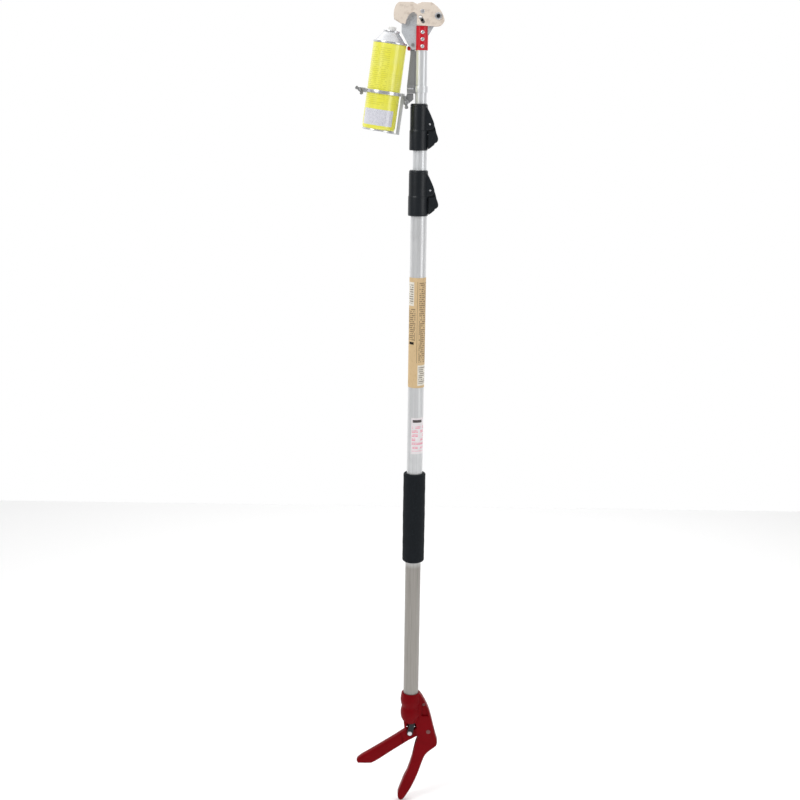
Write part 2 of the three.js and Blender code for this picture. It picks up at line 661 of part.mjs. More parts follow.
const RING_INNER = CAN_R + 0.6;
const RING_OUTER = RING_INNER + 1.8;
const RING_FOOT = -1;              // the ring and its ears, along the can's axis
const RING_TOP = 5.5;
const EAR_BOLT = [-46.2, 1.6];
const CHANNEL_BACK = RING_OUTER + 0.4;
const CHANNEL_WALL = 1.4;

function canRing() {
  const ears = [-2.8, 1.2].map((y) => box([-50.6, -RING_INNER], [y, y + 1.6], [-2.8, 6]));
  return cut(
    joined([ring(RING_INNER, RING_OUTER, RING_FOOT, RING_TOP, 28), ...ears]),
    box([-60, -30], [-1.2, 1.2], [-9, 9]),
    disc(RING_INNER, -9, 9, 28),
    pin(EAR_BOLT, TILT_BOLT_R + GAP, -9, 9),
  );
}

function backChannel() {
  const depth = CHANNEL_BACK + 6.8;
  const foot = CAN_FOOT - 2;
  const flanges = [-5.8, 4.2].map((y) => joined([
    box([CHANNEL_BACK, depth], [y, y + 1.6], [foot, RING_TOP]),
    pin(TILT_PIVOT, 6, y, y + 1.6),
  ]));
  return cut(
    joined([
      box([CHANNEL_BACK, CHANNEL_BACK + CHANNEL_WALL], [-5.8, 5.8], [foot, RING_TOP]),
      box([18, CHANNEL_BACK + CHANNEL_WALL], [-5.8, 5.8], [foot, foot + 1.5]),
      ...flanges,
    ]),
    pin(TILT_PIVOT, TILT_BOLT_R + GAP, -9, 9),
  );
}

place('can_ring', canRing(), STEEL, canFrame);
place('back_channel', backChannel(), SILVER, canFrame);
place('ring_bolt', pinProfile(EAR_BOLT, [
  [0, -8.6], [TILT_BOLT_R, -8.6], [TILT_BOLT_R, 3.1], [4, 3.1], [4, 5.6], [0, 5.6],
], 12), STEEL, canFrame);
place('ring_wing_nut', wingNut(EAR_BOLT, -7.6, -3.2, [163, -62], 10.4, TILT_BOLT_R),
  DARK_STEEL, canFrame);

// ---- aerosol can ----------------------------------------------------------

place('can_body', turned([
  [CAN_R, CAN_SHOULDER], [CAN_R - 0.6, CAN_SHOULDER], [CAN_R - 0.6, CAN_FOOT + 9.3],
  [CAN_R - 2.6, CAN_FOOT + 3.5], [CAN_R - 2, CAN_FOOT + 3.5], [CAN_R, CAN_FOOT + 9],
], 28), YELLOW, canFrame);
place('can_base', turned([
  [0, CAN_FOOT + 10], [15, CAN_FOOT + 8.5], [27, CAN_FOOT + 3.8], [31.8, CAN_FOOT + 3.2],
  [31.8, CAN_FOOT], [30.2, CAN_FOOT], [29.6, CAN_FOOT + 2.2], [26.4, CAN_FOOT + 2.8],
  [15, CAN_FOOT + 7.4], [0, CAN_FOOT + 8.9],
], 28), STEEL, canFrame);
place('can_dome', turned([
  [0, 114.4], [11.8, 114.4], [13.6, CAN_TOP], [16.2, CAN_TOP - 0.8], [16, 117],
  [23.6, 108.2], [30.5, 99.6], [33.3, 99.3], [33.4, CAN_SHOULDER + 0.4],
  [31.2, CAN_SHOULDER + 0.4], [22.8, 107.4], [14.8, 116.2], [12.8, 113.4], [0, 113.4],
], 28), STEEL, canFrame);
place('spray_button', turned([
  [0, 117.8], [1.8, 117.8], [1.8, 122], [8.2, 122], [8.2, 126.8], [6.8, 128.4], [0, 128.4],
], 14), WHITE, canFrame);

export default pole;
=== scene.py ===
"""Looks for a telescoping pole with a squeeze trigger and an aerosol can at its head."""

import json
import math

import bmesh
import bpy
from mathutils import Euler, Matrix, Vector

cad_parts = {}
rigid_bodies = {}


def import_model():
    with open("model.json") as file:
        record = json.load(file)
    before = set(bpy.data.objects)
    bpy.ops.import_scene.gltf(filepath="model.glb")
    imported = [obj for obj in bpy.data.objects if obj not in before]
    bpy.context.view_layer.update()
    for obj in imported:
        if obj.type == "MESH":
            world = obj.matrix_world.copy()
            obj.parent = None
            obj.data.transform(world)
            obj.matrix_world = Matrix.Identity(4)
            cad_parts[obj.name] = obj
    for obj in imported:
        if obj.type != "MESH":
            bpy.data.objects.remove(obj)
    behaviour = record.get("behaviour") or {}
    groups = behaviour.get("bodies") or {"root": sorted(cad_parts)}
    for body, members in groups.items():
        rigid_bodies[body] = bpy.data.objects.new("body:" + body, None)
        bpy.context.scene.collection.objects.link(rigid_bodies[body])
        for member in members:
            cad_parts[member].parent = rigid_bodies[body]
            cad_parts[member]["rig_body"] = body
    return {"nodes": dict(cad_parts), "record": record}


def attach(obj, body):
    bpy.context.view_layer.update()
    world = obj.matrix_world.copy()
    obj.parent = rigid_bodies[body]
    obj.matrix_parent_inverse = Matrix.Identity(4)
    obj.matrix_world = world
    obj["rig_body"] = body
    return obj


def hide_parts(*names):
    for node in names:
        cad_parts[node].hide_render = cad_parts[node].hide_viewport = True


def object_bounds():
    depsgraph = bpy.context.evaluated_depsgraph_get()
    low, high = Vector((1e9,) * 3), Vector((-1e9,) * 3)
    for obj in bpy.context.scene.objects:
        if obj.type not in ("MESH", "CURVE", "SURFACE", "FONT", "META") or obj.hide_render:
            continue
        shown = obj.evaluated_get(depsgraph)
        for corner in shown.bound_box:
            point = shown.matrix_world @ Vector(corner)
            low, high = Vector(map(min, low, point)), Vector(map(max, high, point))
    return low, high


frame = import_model()
CAD_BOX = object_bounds()
NODES = frame["nodes"]
MM = 0.001
ROUND = 96
CAN_TILT = math.radians(7.5)
CAN_FRAME = Matrix.Translation((-0.0746, 0, 0.8845)) @ Matrix.Rotation(CAN_TILT, 4, "Y")


# ---- node sums -------------------------------------------------------------

class Field:
    """A socket in a material that can be used in plain sums."""

    def __init__(self, tree, socket):
        self.tree = tree
        self.socket = socket

    def _math(self, kind, *others):
        node = self.tree.nodes.new("ShaderNodeMath")
        node.operation = kind
        for slot, value in enumerate((self, *others)):
            if isinstance(value, Field):
                self.tree.links.new(value.socket, node.inputs[slot])
            else:
                node.inputs[slot].default_value = value
        return Field(self.tree, node.outputs[0])

    def __add__(self, other):
        return self._math("ADD", other)

    def __sub__(self, other):
        return self._math("SUBTRACT", other)

    def __mul__(self, other):
        return self._math("MULTIPLY", other)

    def above(self, other):
        return self._math("GREATER_THAN", other)

    def below(self, other):
        return self._math("LESS_THAN", other)

    def most(self, other):
        return self._math("MAXIMUM", other)

    def size(self):
        return self._math("ABSOLUTE")

    def step(self):
        return self._math("FLOOR")

    def part(self):
        return self._math("FRACT")

    def turn_from(self, other):
        return self._math("ARCTAN2", other)

    def inside(self, low, high):
        return self.above(low) * self.below(high)

    def ramp(self, low, high):
        node = self.tree.nodes.new("ShaderNodeMapRange")
        self.tree.links.new(self.socket, node.inputs[0])
        node.inputs[1].default_value = low
        node.inputs[2].default_value = high
        return Field(self.tree, node.outputs[0])


def linear(colour):
    """An 8-bit colour as the linear values that a shader takes."""
    values = [part / 255 for part in colour]
    return [v / 12.92 if v <= 0.04045 else ((v + 0.055) / 1.055) ** 2.4 for v in values] + [1]


class Finish:
    """A procedural material being built: colour, roughness and bump."""

    def __init__(self, name, colour, rough, metal=0.0, coat=0.0, specular=0.5):
        self.material = bpy.data.materials.new(name)
        self.material.use_nodes = True
        self.tree = self.material.node_tree
        self.shader = self.tree.nodes["Principled BSDF"]
        self.shader.inputs["Metallic"].default_value = metal
        self.shader.inputs["Coat Weight"].default_value = coat
        self.shader.inputs["Coat Roughness"].default_value = 0.12
        self.shader.inputs["Specular IOR Level"].default_value = specular
        self.shader.inputs["Base Color"].default_value = linear(colour)
        self.shader.inputs["Roughness"].default_value = rough
        self.colour = None
        self.base = colour
        self.rough = rough
        self.height = None
        coords = self.tree.nodes.new("ShaderNodeTexCoord")
        self.place = coords.outputs["Object"]
        split = self.tree.nodes.new("ShaderNodeSeparateXYZ")
        self.tree.links.new(self.place, split.inputs[0])
        self.x, self.y, self.z = (Field(self.tree, s) for s in split.outputs)

    def azimuth(self):
        """Degrees round Z, 0 at the front, positive to the right."""
        return self.x.turn_from(self.y * -1.0) * math.degrees(1)

    def noise(self, scale, stretch=(1, 1, 1), detail=3.0):
        mapping = self.tree.nodes.new("ShaderNodeMapping")
        mapping.inputs["Scale"].default_value = stretch
        self.tree.links.new(self.place, mapping.inputs[0])
        node = self.tree.nodes.new("ShaderNodeTexNoise")
        node.inputs["Scale"].default_value = scale
        node.inputs["Detail"].default_value = detail
        self.tree.links.new(mapping.outputs[0], node.inputs["Vector"])
        return Field(self.tree, node.outputs[0])

    def cells(self, scale):
        node = self.tree.nodes.new("ShaderNodeTexVoronoi")
        node.inputs["Scale"].default_value = scale
        self.tree.links.new(self.place, node.inputs["Vector"])
        return Field(self.tree, node.outputs["Distance"])

    def paint(self, colour, mask):
        """Lays a colour over what is there, where the mask is 1."""
        mix = self.tree.nodes.new("ShaderNodeMix")
        mix.data_type = "RGBA"
        self.tree.links.new(mask.socket, mix.inputs["Factor"])
        if self.colour is None:
            mix.inputs["A"].default_value = linear(self.base)
        else:
            self.tree.links.new(self.colour, mix.inputs["A"])
        mix.inputs["B"].default_value = linear(colour)
        self.colour = mix.outputs["Result"]
        self.tree.links.new(self.colour, self.shader.inputs["Base Color"])
        return self

    def rougher(self, field, amount):
        total = field * amount + (self.rough - amount / 2)
        self.tree.links.new(total.socket, self.shader.inputs["Roughness"])
        return self

    def bump(self, field, depth, strength=1.0):
        node = self.tree.nodes.new("ShaderNodeBump")
        node.inputs["Strength"].default_value = strength
        node.inputs["Distance"].default_value = depth
        self.tree.links.new(field.socket, node.inputs["Height"])
        if self.height is not None:
            self.tree.links.new(self.height, node.inputs["Normal"])
        self.height = node.outputs[0]
        self.tree.links.new(self.height, self.shader.inputs["Normal"])
        return self

    def done(self):
        return self.material


def row_marks(finish, across, up, box, pitch, word, seed, thick=0.52):
    """Rows of short generic dashes in a box (low and high across, low and high up)."""
    left, right, low, high = box
    rows = up * (1 / pitch)
    columns = across * (1 / word)
    cell = finish.tree.nodes.new("ShaderNodeCombineXYZ")
    finish.tree.links.new(columns.step().socket, cell.inputs[0])
    finish.tree.links.new(rows.step().socket, cell.inputs[1])
    cell.inputs[2].default_value = seed
    speckle = finish.tree.nodes.new("ShaderNodeTexWhiteNoise")
    finish.tree.links.new(cell.outputs[0], speckle.inputs["Vector"])
    filled = Field(finish.tree, speckle.outputs["Value"]).above(0.22)
    return (filled * rows.part().below(thick) * across.inside(left, right)
            * up.inside(low, high))


def rectangle(across, up, left, right, low, high):
    return across.inside(left, right) * up.inside(low, high)


# ---- materials -------------------------------------------------------------

def brushed(name, colour, rough, dark, shade_below_grip=False):
    """Satin metal with fine draw lines along Z; if asked, painted shade makes it darker and
    warmer below the grip.
    """
    metal = Finish(name, colour, rough, metal=0.42)
    lines = metal.noise(900, (1, 1, 0.012))
    blotch = metal.noise(26)
    metal.paint(dark, lines.ramp(0.42, 0.9) * 0.55)
    metal.paint(dark, blotch.ramp(0.55, 0.8) * 0.25)
    if shade_below_grip:
        # Painted shade: below the foam grip the tube is painted a darker, warmer grey, with its
        # draw lines darker still, as if that part caught less light.
        below_grip_shade = metal.z.ramp(-0.09, -0.11)
        metal.paint((146, 141, 134), below_grip_shade * 0.9)
        metal.paint((118, 114, 108), below_grip_shade * lines.ramp(0.45, 0.8) * 0.6)
    metal.rougher(lines, 0.16)
    metal.bump(lines, 0.00004, 0.5)
    return metal.done()


def zinc(name, colour, rough=0.32, dark=(92, 92, 96), metallic=0.7):
    metal = Finish(name, colour, rough, metal=metallic)
    grain = metal.noise(420)
    metal.paint(dark, grain.ramp(0.5, 0.8) * 0.4)
    metal.rougher(metal.noise(140), 0.2)
    metal.bump(grain, 0.00008, 0.4)
    return metal.done()


def moulded(name, colour, rough, light, coat=0.0, specular=0.4):
    """Moulded plastic: fine texture and a slightly uneven tone."""
    plastic = Finish(name, colour, rough, coat=coat, specular=specular)
    tone = plastic.noise(24)
    grain = plastic.noise(1500, detail=2)
    plastic.paint(light, tone.ramp(0.4, 0.75) * 0.45)
    plastic.rougher(grain, 0.12)
    plastic.bump(grain, 0.00006, 0.6)
    plastic.bump(tone, 0.0004, 0.15)
    return plastic.done()


def foam():
    skin = Finish("foam_skin", (15, 20, 25), 0.88, specular=0.25)
    pores = skin.cells(1250)
    coarse = skin.noise(620, detail=6)
    skin.paint((36, 42, 48), coarse.ramp(0.5, 0.72) * 0.7)
    skin.paint((3, 4, 6), pores.ramp(0.32, 0.12) * 0.7)
    skin.bump(pores, 0.00035, 0.8)
    skin.bump(coarse, 0.0002, 0.5)
    return skin.done()


def kraft():
    paper = Finish("kraft_paper_print", (214, 186, 143), 0.72, specular=0.25)
    fibres = paper.noise(620, (1, 1, 0.25), detail=6)
    paper.paint((186, 156, 112), fibres.ramp(0.52, 0.75) * 0.5)
    across = paper.azimuth()
    up = paper.z
    white = rectangle(across, up, -80, -25, 0.462, 0.511)
    lower_white = rectangle(across, up, 8, 88, 0.295, 0.338)
    paper.paint((231, 226, 214), white.most(lower_white))
    paper.paint((120, 98, 70), rectangle(across, up, -1.5, 1.5, 0.343, 0.512) * 0.8)
    marks = row_marks(paper, across, up, (12, 84, 0.343, 0.51), 0.0042, 7, 2)
    marks = marks.most(row_marks(paper, across, up, (-78, -12, 0.39, 0.456), 0.0042, 7, 5))
    marks = marks.most(row_marks(paper, across, up, (-74, -30, 0.467, 0.506), 0.0048, 9, 8))
    marks = marks.most(row_marks(paper, across, up, (14, 84, 0.299, 0.334), 0.0042, 8, 9))
    paper.paint((92, 74, 54), marks * 0.72)
    back = row_marks(paper, across.size(), up, (100, 160, 0.31, 0.5), 0.0048, 8, 4)
    paper.paint((92, 74, 54), back * 0.7)
    paper.paint((38, 30, 24), rectangle(across, up, -62, -22, 0.3815, 0.387))
    paper.bump(fibres, 0.00008, 0.5)
    return paper.done()


def film():
    label = Finish("pale_film_print", (236, 230, 232), 0.42, coat=0.25)
    across = label.azimuth()
    up = label.z
    haze = label.noise(90)
    label.paint((222, 214, 216), haze.ramp(0.4, 0.7) * 0.6)
    pink = row_marks(label, across, up, (-25, 68, 0.153, 0.211), 0.0088, 19, 3, 0.62)
    rows = row_marks(label, across, up, (-25, 68, 0.153, 0.211), 0.0042, 8, 5, 0.5)
    label.paint((236, 120, 150), pink * rows.ramp(-0.6, 1.0) * 0.8)
    label.paint((70, 62, 62), rectangle(across, up, -20, 48, 0.2155, 0.2215))
    label.bump(haze, 0.00004, 0.4)
    return label.done()


def enamel():
    paint = Finish("beige_enamel", (227, 214, 200), 0.5, coat=0.12)
    mottle = paint.noise(150, detail=6)
    fleck = paint.noise(900, detail=2)
    paint.paint((186, 168, 152), mottle.ramp(0.5, 0.72) * 0.55)
    paint.paint((150, 126, 108), fleck.ramp(0.66, 0.74) * 0.5)
    paint.bump(mottle, 0.0002, 0.4)
    paint.bump(fleck, 0.00005, 0.5)
    return paint.done()


def casting():
    metal = Finish("cast_metal", (198, 202, 206), 0.5, metal=0.2)
    sand = metal.noise(520, detail=5)
    metal.paint((146, 150, 156), sand.ramp(0.45, 0.75) * 0.6)
    metal.rougher(metal.noise(90), 0.2)
    metal.bump(sand, 0.0003, 0.6)
    return metal.done()


def lacquer():
    """Yellow printed tinplate; its coordinates are the can's own."""
    tin = Finish("can_lacquer", (238, 234, 78), 0.27, coat=0.5)
    across = tin.azimuth()
    up = tin.z
    cloud = tin.noise(34)
    tin.paint((238, 237, 112), cloud.ramp(0.42, 0.7) * 0.6)
    olive = row_marks(tin, across, up, (-82, 8, -0.024, 0.088), 0.0037, 6, 6, 0.42)
    faint = row_marks(tin, across, up, (14, 70, -0.02, 0.04), 0.0037, 7, 7, 0.4)
    tin.paint((176, 172, 50), olive * 0.36)
    tin.paint((196, 192, 60), faint * 0.25)
    panel = rectangle(across, up, -68, 50, -0.062, -0.031)
    tin.paint((226, 226, 234), panel)
    speckle = tin.noise(850, detail=4).ramp(0.5, 0.58)
    tin.paint((150, 152, 168), speckle * panel * 0.55)
    back = rectangle(across.size(), up, 110, 175, -0.05, 0.06)
    tin.paint((244, 242, 214), back)
    rows = row_marks(tin, across.size(), up, (115, 170, -0.046, 0.056), 0.0046, 7, 11, 0.5)
    tin.paint((120, 118, 60), rows * 0.7)
    tin.bump(tin.noise(1300), 0.00002, 0.3)
    return tin.done()


MATERIALS = {
    "bare_aluminium": brushed("brushed_aluminium", (222, 224, 226), 0.36, (172, 173, 175)),
    # The outer tube's finish: brushed aluminium with painted shade below the grip.
    "grip_tube": brushed("aluminium_shaded_below_grip", (218, 219, 220), 0.36, (170, 170, 171), True),
    "pivot_steel": zinc("paint_stained_steel", (118, 72, 70), 0.45, (80, 34, 34), 0.4),
    "bright_steel": zinc("zinc_plated_steel", (216, 217, 220), 0.28, (128, 129, 133), 0.75),
    "dark_steel": zinc("dark_zinc_steel", (146, 147, 148), 0.4, (92, 93, 96), 0.35),
    "red_plastic": moulded("red_moulding", (116, 0, 9), 0.42, (130, 1, 13), 0.0, 0.07),
    "red_sleeve": moulded("red_sleeve_coat", (204, 14, 34), 0.34, (214, 22, 44), 0.15, 0.3),
    "red_rubber": moulded("red_rubber", (196, 30, 38), 0.6, (206, 44, 50)),
    "black_plastic": moulded("black_moulding", (17, 22, 27), 0.38, (25, 31, 37), specular=0.35),
    "foam": foam(),
    "kraft_paper": kraft(),
    "pale_film": film(),
    "beige_paint": enamel(),
    "cast_metal": casting(),
    "can_print": lacquer(),
    "white_plastic": moulded("white_moulding", (236, 236, 233), 0.4, (226, 226, 222)),
}
SLOT_OF = {part["node"]: part["material_slot"] for part in frame["record"]["subparts"]}


# ---- making pieces ---------------------------------------------------------

def linked(name, data):
    """A new object for a mesh, light or camera, put in the scene."""
    thing = bpy.data.objects.new(name, data)
    bpy.context.scene.collection.objects.link(thing)
    return thing


def add_piece(name, mesh, body, slot, stands_for=(), angle=32, at=None, finish=None):
    """Puts a mesh in the scene, riding on its body, with its slot's finish or its own."""
    mesh.update()
    shade(mesh, angle)
    piece = linked(name, mesh)
    if at is not None:
        piece.matrix_world = at
    mesh.materials.clear()
    mesh.materials.append(MATERIALS[finish or slot])
    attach(piece, body)
    if stands_for:
        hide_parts(*stands_for)
    return piece


def shade(mesh, angle):
    """Smooth faces, with a crease wherever the surface turns by more than the angle."""
    work = bmesh.new()
    work.from_mesh(mesh)
    limit = math.radians(angle)
    for face in work.faces:
        face.smooth = True
    for edge in work.edges:
        edge.smooth = len(edge.link_faces) != 2 or edge.calc_face_angle(0) < limit
    work.to_mesh(mesh)
    work.free()


def new_mesh(name, points, faces):
    """A mesh from points in millimetres."""
    mesh = bpy.data.meshes.new(name)
    mesh.from_pydata([[part * MM for part in point] for point in points], [], faces)
    work = bmesh.new()
    work.from_mesh(mesh)
    bmesh.ops.remove_doubles(work, verts=work.verts, dist=1e-6)
    bmesh.ops.recalc_face_normals(work, faces=work.faces)
    work.to_mesh(mesh)
    work.free()
    return mesh


def rounded(points, radius, closed=True, steps=4):
    """A run of points with its corners rounded; radius may be one for each corner."""
    out = []
    count = len(points)
    for i, point in enumerate(points):
        size = radius[i] if isinstance(radius, (list, tuple)) else radius
        if size <= 0 or (not closed and i in (0, count - 1)):
            out.append(tuple(point))
            continue
        here = Vector(point)
        back = Vector(points[i - 1]) - here
        ahead = Vector(points[(i + 1) % count]) - here
        reach = min(size, back.length * 0.48, ahead.length * 0.48)
        start = here + back.normalized() * reach
        end = here + ahead.normalized() * reach
        for step in range(steps + 1):
            t = step / steps
            out.append(tuple(start * (1 - t) ** 2 + here * 2 * t * (1 - t) + end * t * t))
    return out


def curve_between(p0, p1, p2, p3, steps):
    """Points of a smooth curve from p1 up to p2, led in by p0 and out by p3."""
    out = []
    for step in range(steps):
        t = step / steps
        out.append(tuple(0.5 * (2 * p1 + (p2 - p0) * t
                                + (2 * p0 - 5 * p1 + 4 * p2 - p3) * t ** 2
                                + (3 * p1 - p0 - 3 * p2 + p3) * t ** 3)))
    return out


def flowing(points, steps):
    """A closed smooth curve through all the points."""
    out = []
    count = len(points)
    for i in range(count):
        p0, p1, p2, p3 = (Vector(points[(i + k) % count]) for k in (-1, 0, 1, 2))
        out += curve_between(p0, p1, p2, p3, steps)
    return out


def lathe_mesh(name, profile, centre=(0, 0), sides=ROUND):
    """A closed profile of (radius, height), turned about Z, in millimetres."""
    points = []
    for radius, height in profile:
        for side in range(sides):
            turn = math.tau * side / sides
            points.append((centre[0] + radius * math.cos(turn),
                           centre[1] + radius * math.sin(turn), height))
    faces = []
    for row in range(len(profile)):
        nxt = (row + 1) % len(profile)
        if profile[row][0] < 1e-6 and profile[nxt][0] < 1e-6:
            continue
        for side in range(sides):
            after = (side + 1) % sides
            faces.append((row * sides + side, row * sides + after,
                          nxt * sides + after, nxt * sides + side))
    return new_mesh(name, points, faces)


def dome_rows(radius, crown, rise, turns=(15, 30, 45, 60, 75, 90)):
    """Rows of (radius, height) from just off a round head's crown out to its rim."""
    return [(radius * math.sin(math.radians(turn)),
             crown + rise * (1 - math.cos(math.radians(turn)))) for turn in turns]


def across_y(mesh, at):
    """Lays a turned mesh down, so that its axis runs along Y through (x, z)."""
    turn = Matrix.Translation((at[0] * MM, 0, at[1] * MM)) @ Matrix.Rotation(
        math.radians(90), 4, "X")
    mesh.transform(turn)
    return mesh


def across_x(mesh, y, z):
    turn = Matrix.Translation((0, y * MM, z * MM)) @ Matrix.Rotation(
        math.radians(90), 4, "Y")
    mesh.transform(turn)
    return mesh


def slab_mesh(name, contour, y0, y1, layers=((0, 0), (0, 1))):
    """A contour in XZ made into a slab along Y.

    Each layer is (inset, share of the way from y0 to y1).
    """
    rings = [(inset_contour(contour, inset), y0 + (y1 - y0) * share)
             for inset, share in layers]
    count = len(contour)
    points = [(x, y, z) for ring, y in rings for x, z in ring]
    faces = [tuple(range(count)),
             tuple(reversed(range((len(rings) - 1) * count, len(rings) * count)))]
    for row in range(len(rings) - 1):
        for i in range(count):
            j = (i + 1) % count
            faces.append((row * count + i, row * count + j,
                          (row + 1) * count + j, (row + 1) * count + i))
    return new_mesh(name, points, faces)


def gap_to(point, contour):
    """The distance from a point to a closed contour."""
    best = math.inf
    for i, start in enumerate(contour):
        a = Vector(contour[i - 1])
        run = Vector(start) - a
        share = 0.0
        if run.length_squared:
            share = min(1.0, max(0.0, (point - a).dot(run) / run.length_squared))
        best = min(best, (point - a - run * share).length)
    return best


def inset_contour(contour, distance):
    """The contour moved inwards; a corner too tight for that closes to its neighbours."""
    if not distance:
        return contour
    area = sum(a[0] * b[1] - b[0] * a[1]
               for a, b in zip(contour, contour[1:] + contour[:1]))
    sign = 1 if area > 0 else -1
    count = len(contour)
    moved = []
    for i in range(count):
        before = Vector(contour[i]) - Vector(contour[i - 1])
        after = Vector(contour[(i + 1) % count]) - Vector(contour[i])
        along = (before.normalized() + after.normalized())
        along = along.normalized() if along.length > 1e-6 else after.normalized()
        lean = max(0.5, along.dot(after.normalized()))
        normal = Vector((-along.y, along.x)) * sign
        moved.append(Vector(contour[i]) + normal * distance / lean)
    sound = [gap_to(point, contour) > distance * 0.97 for point in moved]
    out = []
    for i in range(count):
        step = 0
        while not sound[i - step] and not sound[(i + step) % count] and step < count:
            step += 1
        out.append(tuple(moved[i - step] if sound[i - step] else moved[(i + step) % count]))
    return out


def edged(radius, depth_share, steps=4):
    """Layers for a slab with both rims rounded to a radius."""
    low = []
    for step in range(steps + 1):
        turn = math.radians(90) * step / steps
        low.append((radius * (1 - math.sin(turn)), depth_share * (1 - math.cos(turn))))
    high = [(inset, 1 - share) for inset, share in reversed(low)]
    return low + high


def eased_slab(name, contour, y0, y1, radius):
    """A slab with both rims rounded as deep as they are wide."""
    return slab_mesh(name, contour, y0, y1, edged(radius, radius / (y1 - y0)))


def carve(mesh, cutters, mode="DIFFERENCE"):
    """A mesh with others cut from it, or added to it."""
    base = linked("carve_base", mesh)
    for cutter in cutters:
        tool = linked("carve_tool", cutter)
        step = base.modifiers.new("carve", "BOOLEAN")
        step.operation = mode
        step.solver = "EXACT"
        step.object = tool
        graph = bpy.context.evaluated_depsgraph_get()
        result = bpy.data.meshes.new_from_object(base.evaluated_get(graph))
        base.modifiers.clear()
        base.data = result
        bpy.data.objects.remove(tool)
    result = base.data
    bpy.data.objects.remove(base)
    return result


def block_mesh(x, y, z):
    contour = [(x[0], z[0]), (x[1], z[0]), (x[1], z[1]), (x[0], z[1])]
    return slab_mesh("block", contour, y[0], y[1])


def merged(name, meshes):
    """Several meshes as one, each kept as its own shell."""
    work = bmesh.new()
    for mesh in meshes:
        work.from_mesh(mesh)
    out = bpy.data.meshes.new(name)
    work.to_mesh(out)
    work.free()
    return out


def eased(node, width):
    """A CAD node's own shape with its hard edges rounded, in place of the node."""
    source = NODES[node]
    mesh = source.data.copy()
    work = bmesh.new()
    work.from_mesh(mesh)
    bmesh.ops.remove_doubles(work, verts=work.verts, dist=1e-6)
    bmesh.ops.dissolve_limit(work, angle_limit=math.radians(0.8),
                             verts=work.verts, edges=work.edges)
    hard = [edge for edge in work.edges
            if len(edge.link_faces) == 2 and edge.calc_face_angle(0) > math.radians(38)]
    bmesh.ops.bevel(work, geom=hard, offset=width * MM, segments=3, profile=0.5,
                    affect="EDGES", clamp_overlap=True)
    bmesh.ops.recalc_face_normals(work, faces=work.faces)
    work.to_mesh(mesh)
    work.free()
    add_piece(node + "_finish", mesh, source["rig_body"], SLOT_OF[node], (node,))


def turned_piece(node, profile, sides=ROUND, finish=None):
    mesh = lathe_mesh(node, profile, sides=sides)
    return add_piece(node + "_finish", mesh, NODES[node]["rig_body"], SLOT_OF[node], (node,),
                     finish=finish)


# ---- tubes, rods, labels and grip ------------------------------------------

OUTER_R = 16.5
MIDDLE_R = 14
INNER_R = 11.75
WALL = 1.2
GAP = 0.3
GRIP_R = 23.5
GRIP_FOOT = -96
GRIP_TOP = 102
GRIP_CORNER = 4.2


def hollow(radius, wall, foot, top, lip=0.35):
    bore = radius - wall
    return [(bore + lip, foot), (radius - lip, foot), (radius, foot + lip),
            (radius, top - lip), (radius - lip, top), (bore + lip, top),
            (bore, top - lip), (bore, foot + lip)]


turned_piece("outer_tube", hollow(OUTER_R, WALL, -455, 684), finish="grip_tube")
turned_piece("middle_tube", hollow(MIDDLE_R, WALL, -405, 814))
turned_piece("inner_tube", hollow(INNER_R, WALL, -350, 1013))
turned_piece("pull_rod_middle", hollow(5.9, 1.3, -300, 730), sides=48)

for bush, tube_r, bore_r, foot in (("middle_tube_bush", MIDDLE_R, OUTER_R - WALL, -405),
                                   ("inner_tube_bush", INNER_R, MIDDLE_R - WALL, -350)):
    spigot = tube_r - WALL - GAP
    turned_piece(bush, rounded(
        [(8, foot - 16), (bore_r - GAP, foot - 16), (bore_r - GAP, foot - GAP),
         (spigot, foot - GAP), (spigot, foot + 18), (8, foot + 18)], 0.8), sides=64)


def wrapped_label(node, z0, z1, start, end):
    """A thin printed sheet round the outer tube, its edges lifting a hair."""
    face = OUTER_R + GAP
    count = 72
    points = []
    for skin in (face, face + 0.28):
        for step in range(count + 1):
            turn = math.radians(start + (end - start) * step / count)
            lift = 0.1 if skin > face and step in (0, count) else 0
            for z in (z0, z1):
                points.append(((skin - lift) * math.cos(turn),
                               (skin - lift) * math.sin(turn), z))
    side = 2 * (count + 1)
    faces = []
    for step in range(count):
        a = 2 * step
        faces.append((a, a + 1, a + 3, a + 2))
        faces.append((side + a, side + a + 2, side + a + 3, side + a + 1))
        faces.append((a, a + 2, side + a + 2, side + a))
        faces.append((a + 1, side + a + 1, side + a + 3, a + 3))
    last = 2 * count
    faces.append((0, side, side + 1, 1))
    faces.append((last, last + 1, side + last + 1, side + last))
    add_piece(node + "_finish", new_mesh(node, points, faces), "pole_base",
              SLOT_OF[node], (node,))


wrapped_label("instruction_label", 290, 520, -178.2, 162)
wrapped_label("caution_label", 147, 226, -122.4, -18)


def foam_grip():
    """A closed-cell foam sleeve: rounded ends, barely crowned, a little uneven."""
    foot, top = GRIP_FOOT, GRIP_TOP
    middle = (foot + top) / 2
    half = (top - foot) / 2
    outer = GRIP_R
    corner = GRIP_CORNER
    bore = OUTER_R + GAP
    profile = [(bore + 0.6, foot)]
    for step in range(7):
        turn = math.radians(90) * step / 6
        profile.append((outer - corner + corner * math.sin(turn),
                        foot + corner - corner * math.cos(turn)))
    rows = 44
    for row in range(1, rows):
        z = foot + corner + (2 * half - 2 * corner) * row / rows
        profile.append((outer - 0.35 * (abs(z - middle) / half) ** 2
                        + 0.12 * math.sin(z * 0.21) + 0.09 * math.sin(z * 0.083 + 1), z))
    for step in range(7):
        turn = math.radians(90) * step / 6
        profile.append((outer - corner + corner * math.cos(turn),
                        top - corner + corner * math.sin(turn)))
    profile += [(bore + 0.6, top), (bore, top - 0.8), (bore, foot + 0.8)]
    grip = turned_piece("foam_grip", profile)


foam_grip()


# ---- flip-lever clamps -----------------------------------------------------

def solid_disc(radius, z0, z1, centre=(0, 0), sides=ROUND):
    return lathe_mesh("disc", [(0, z0), (radius, z0), (radius, z1), (0, z1)], centre, sides)


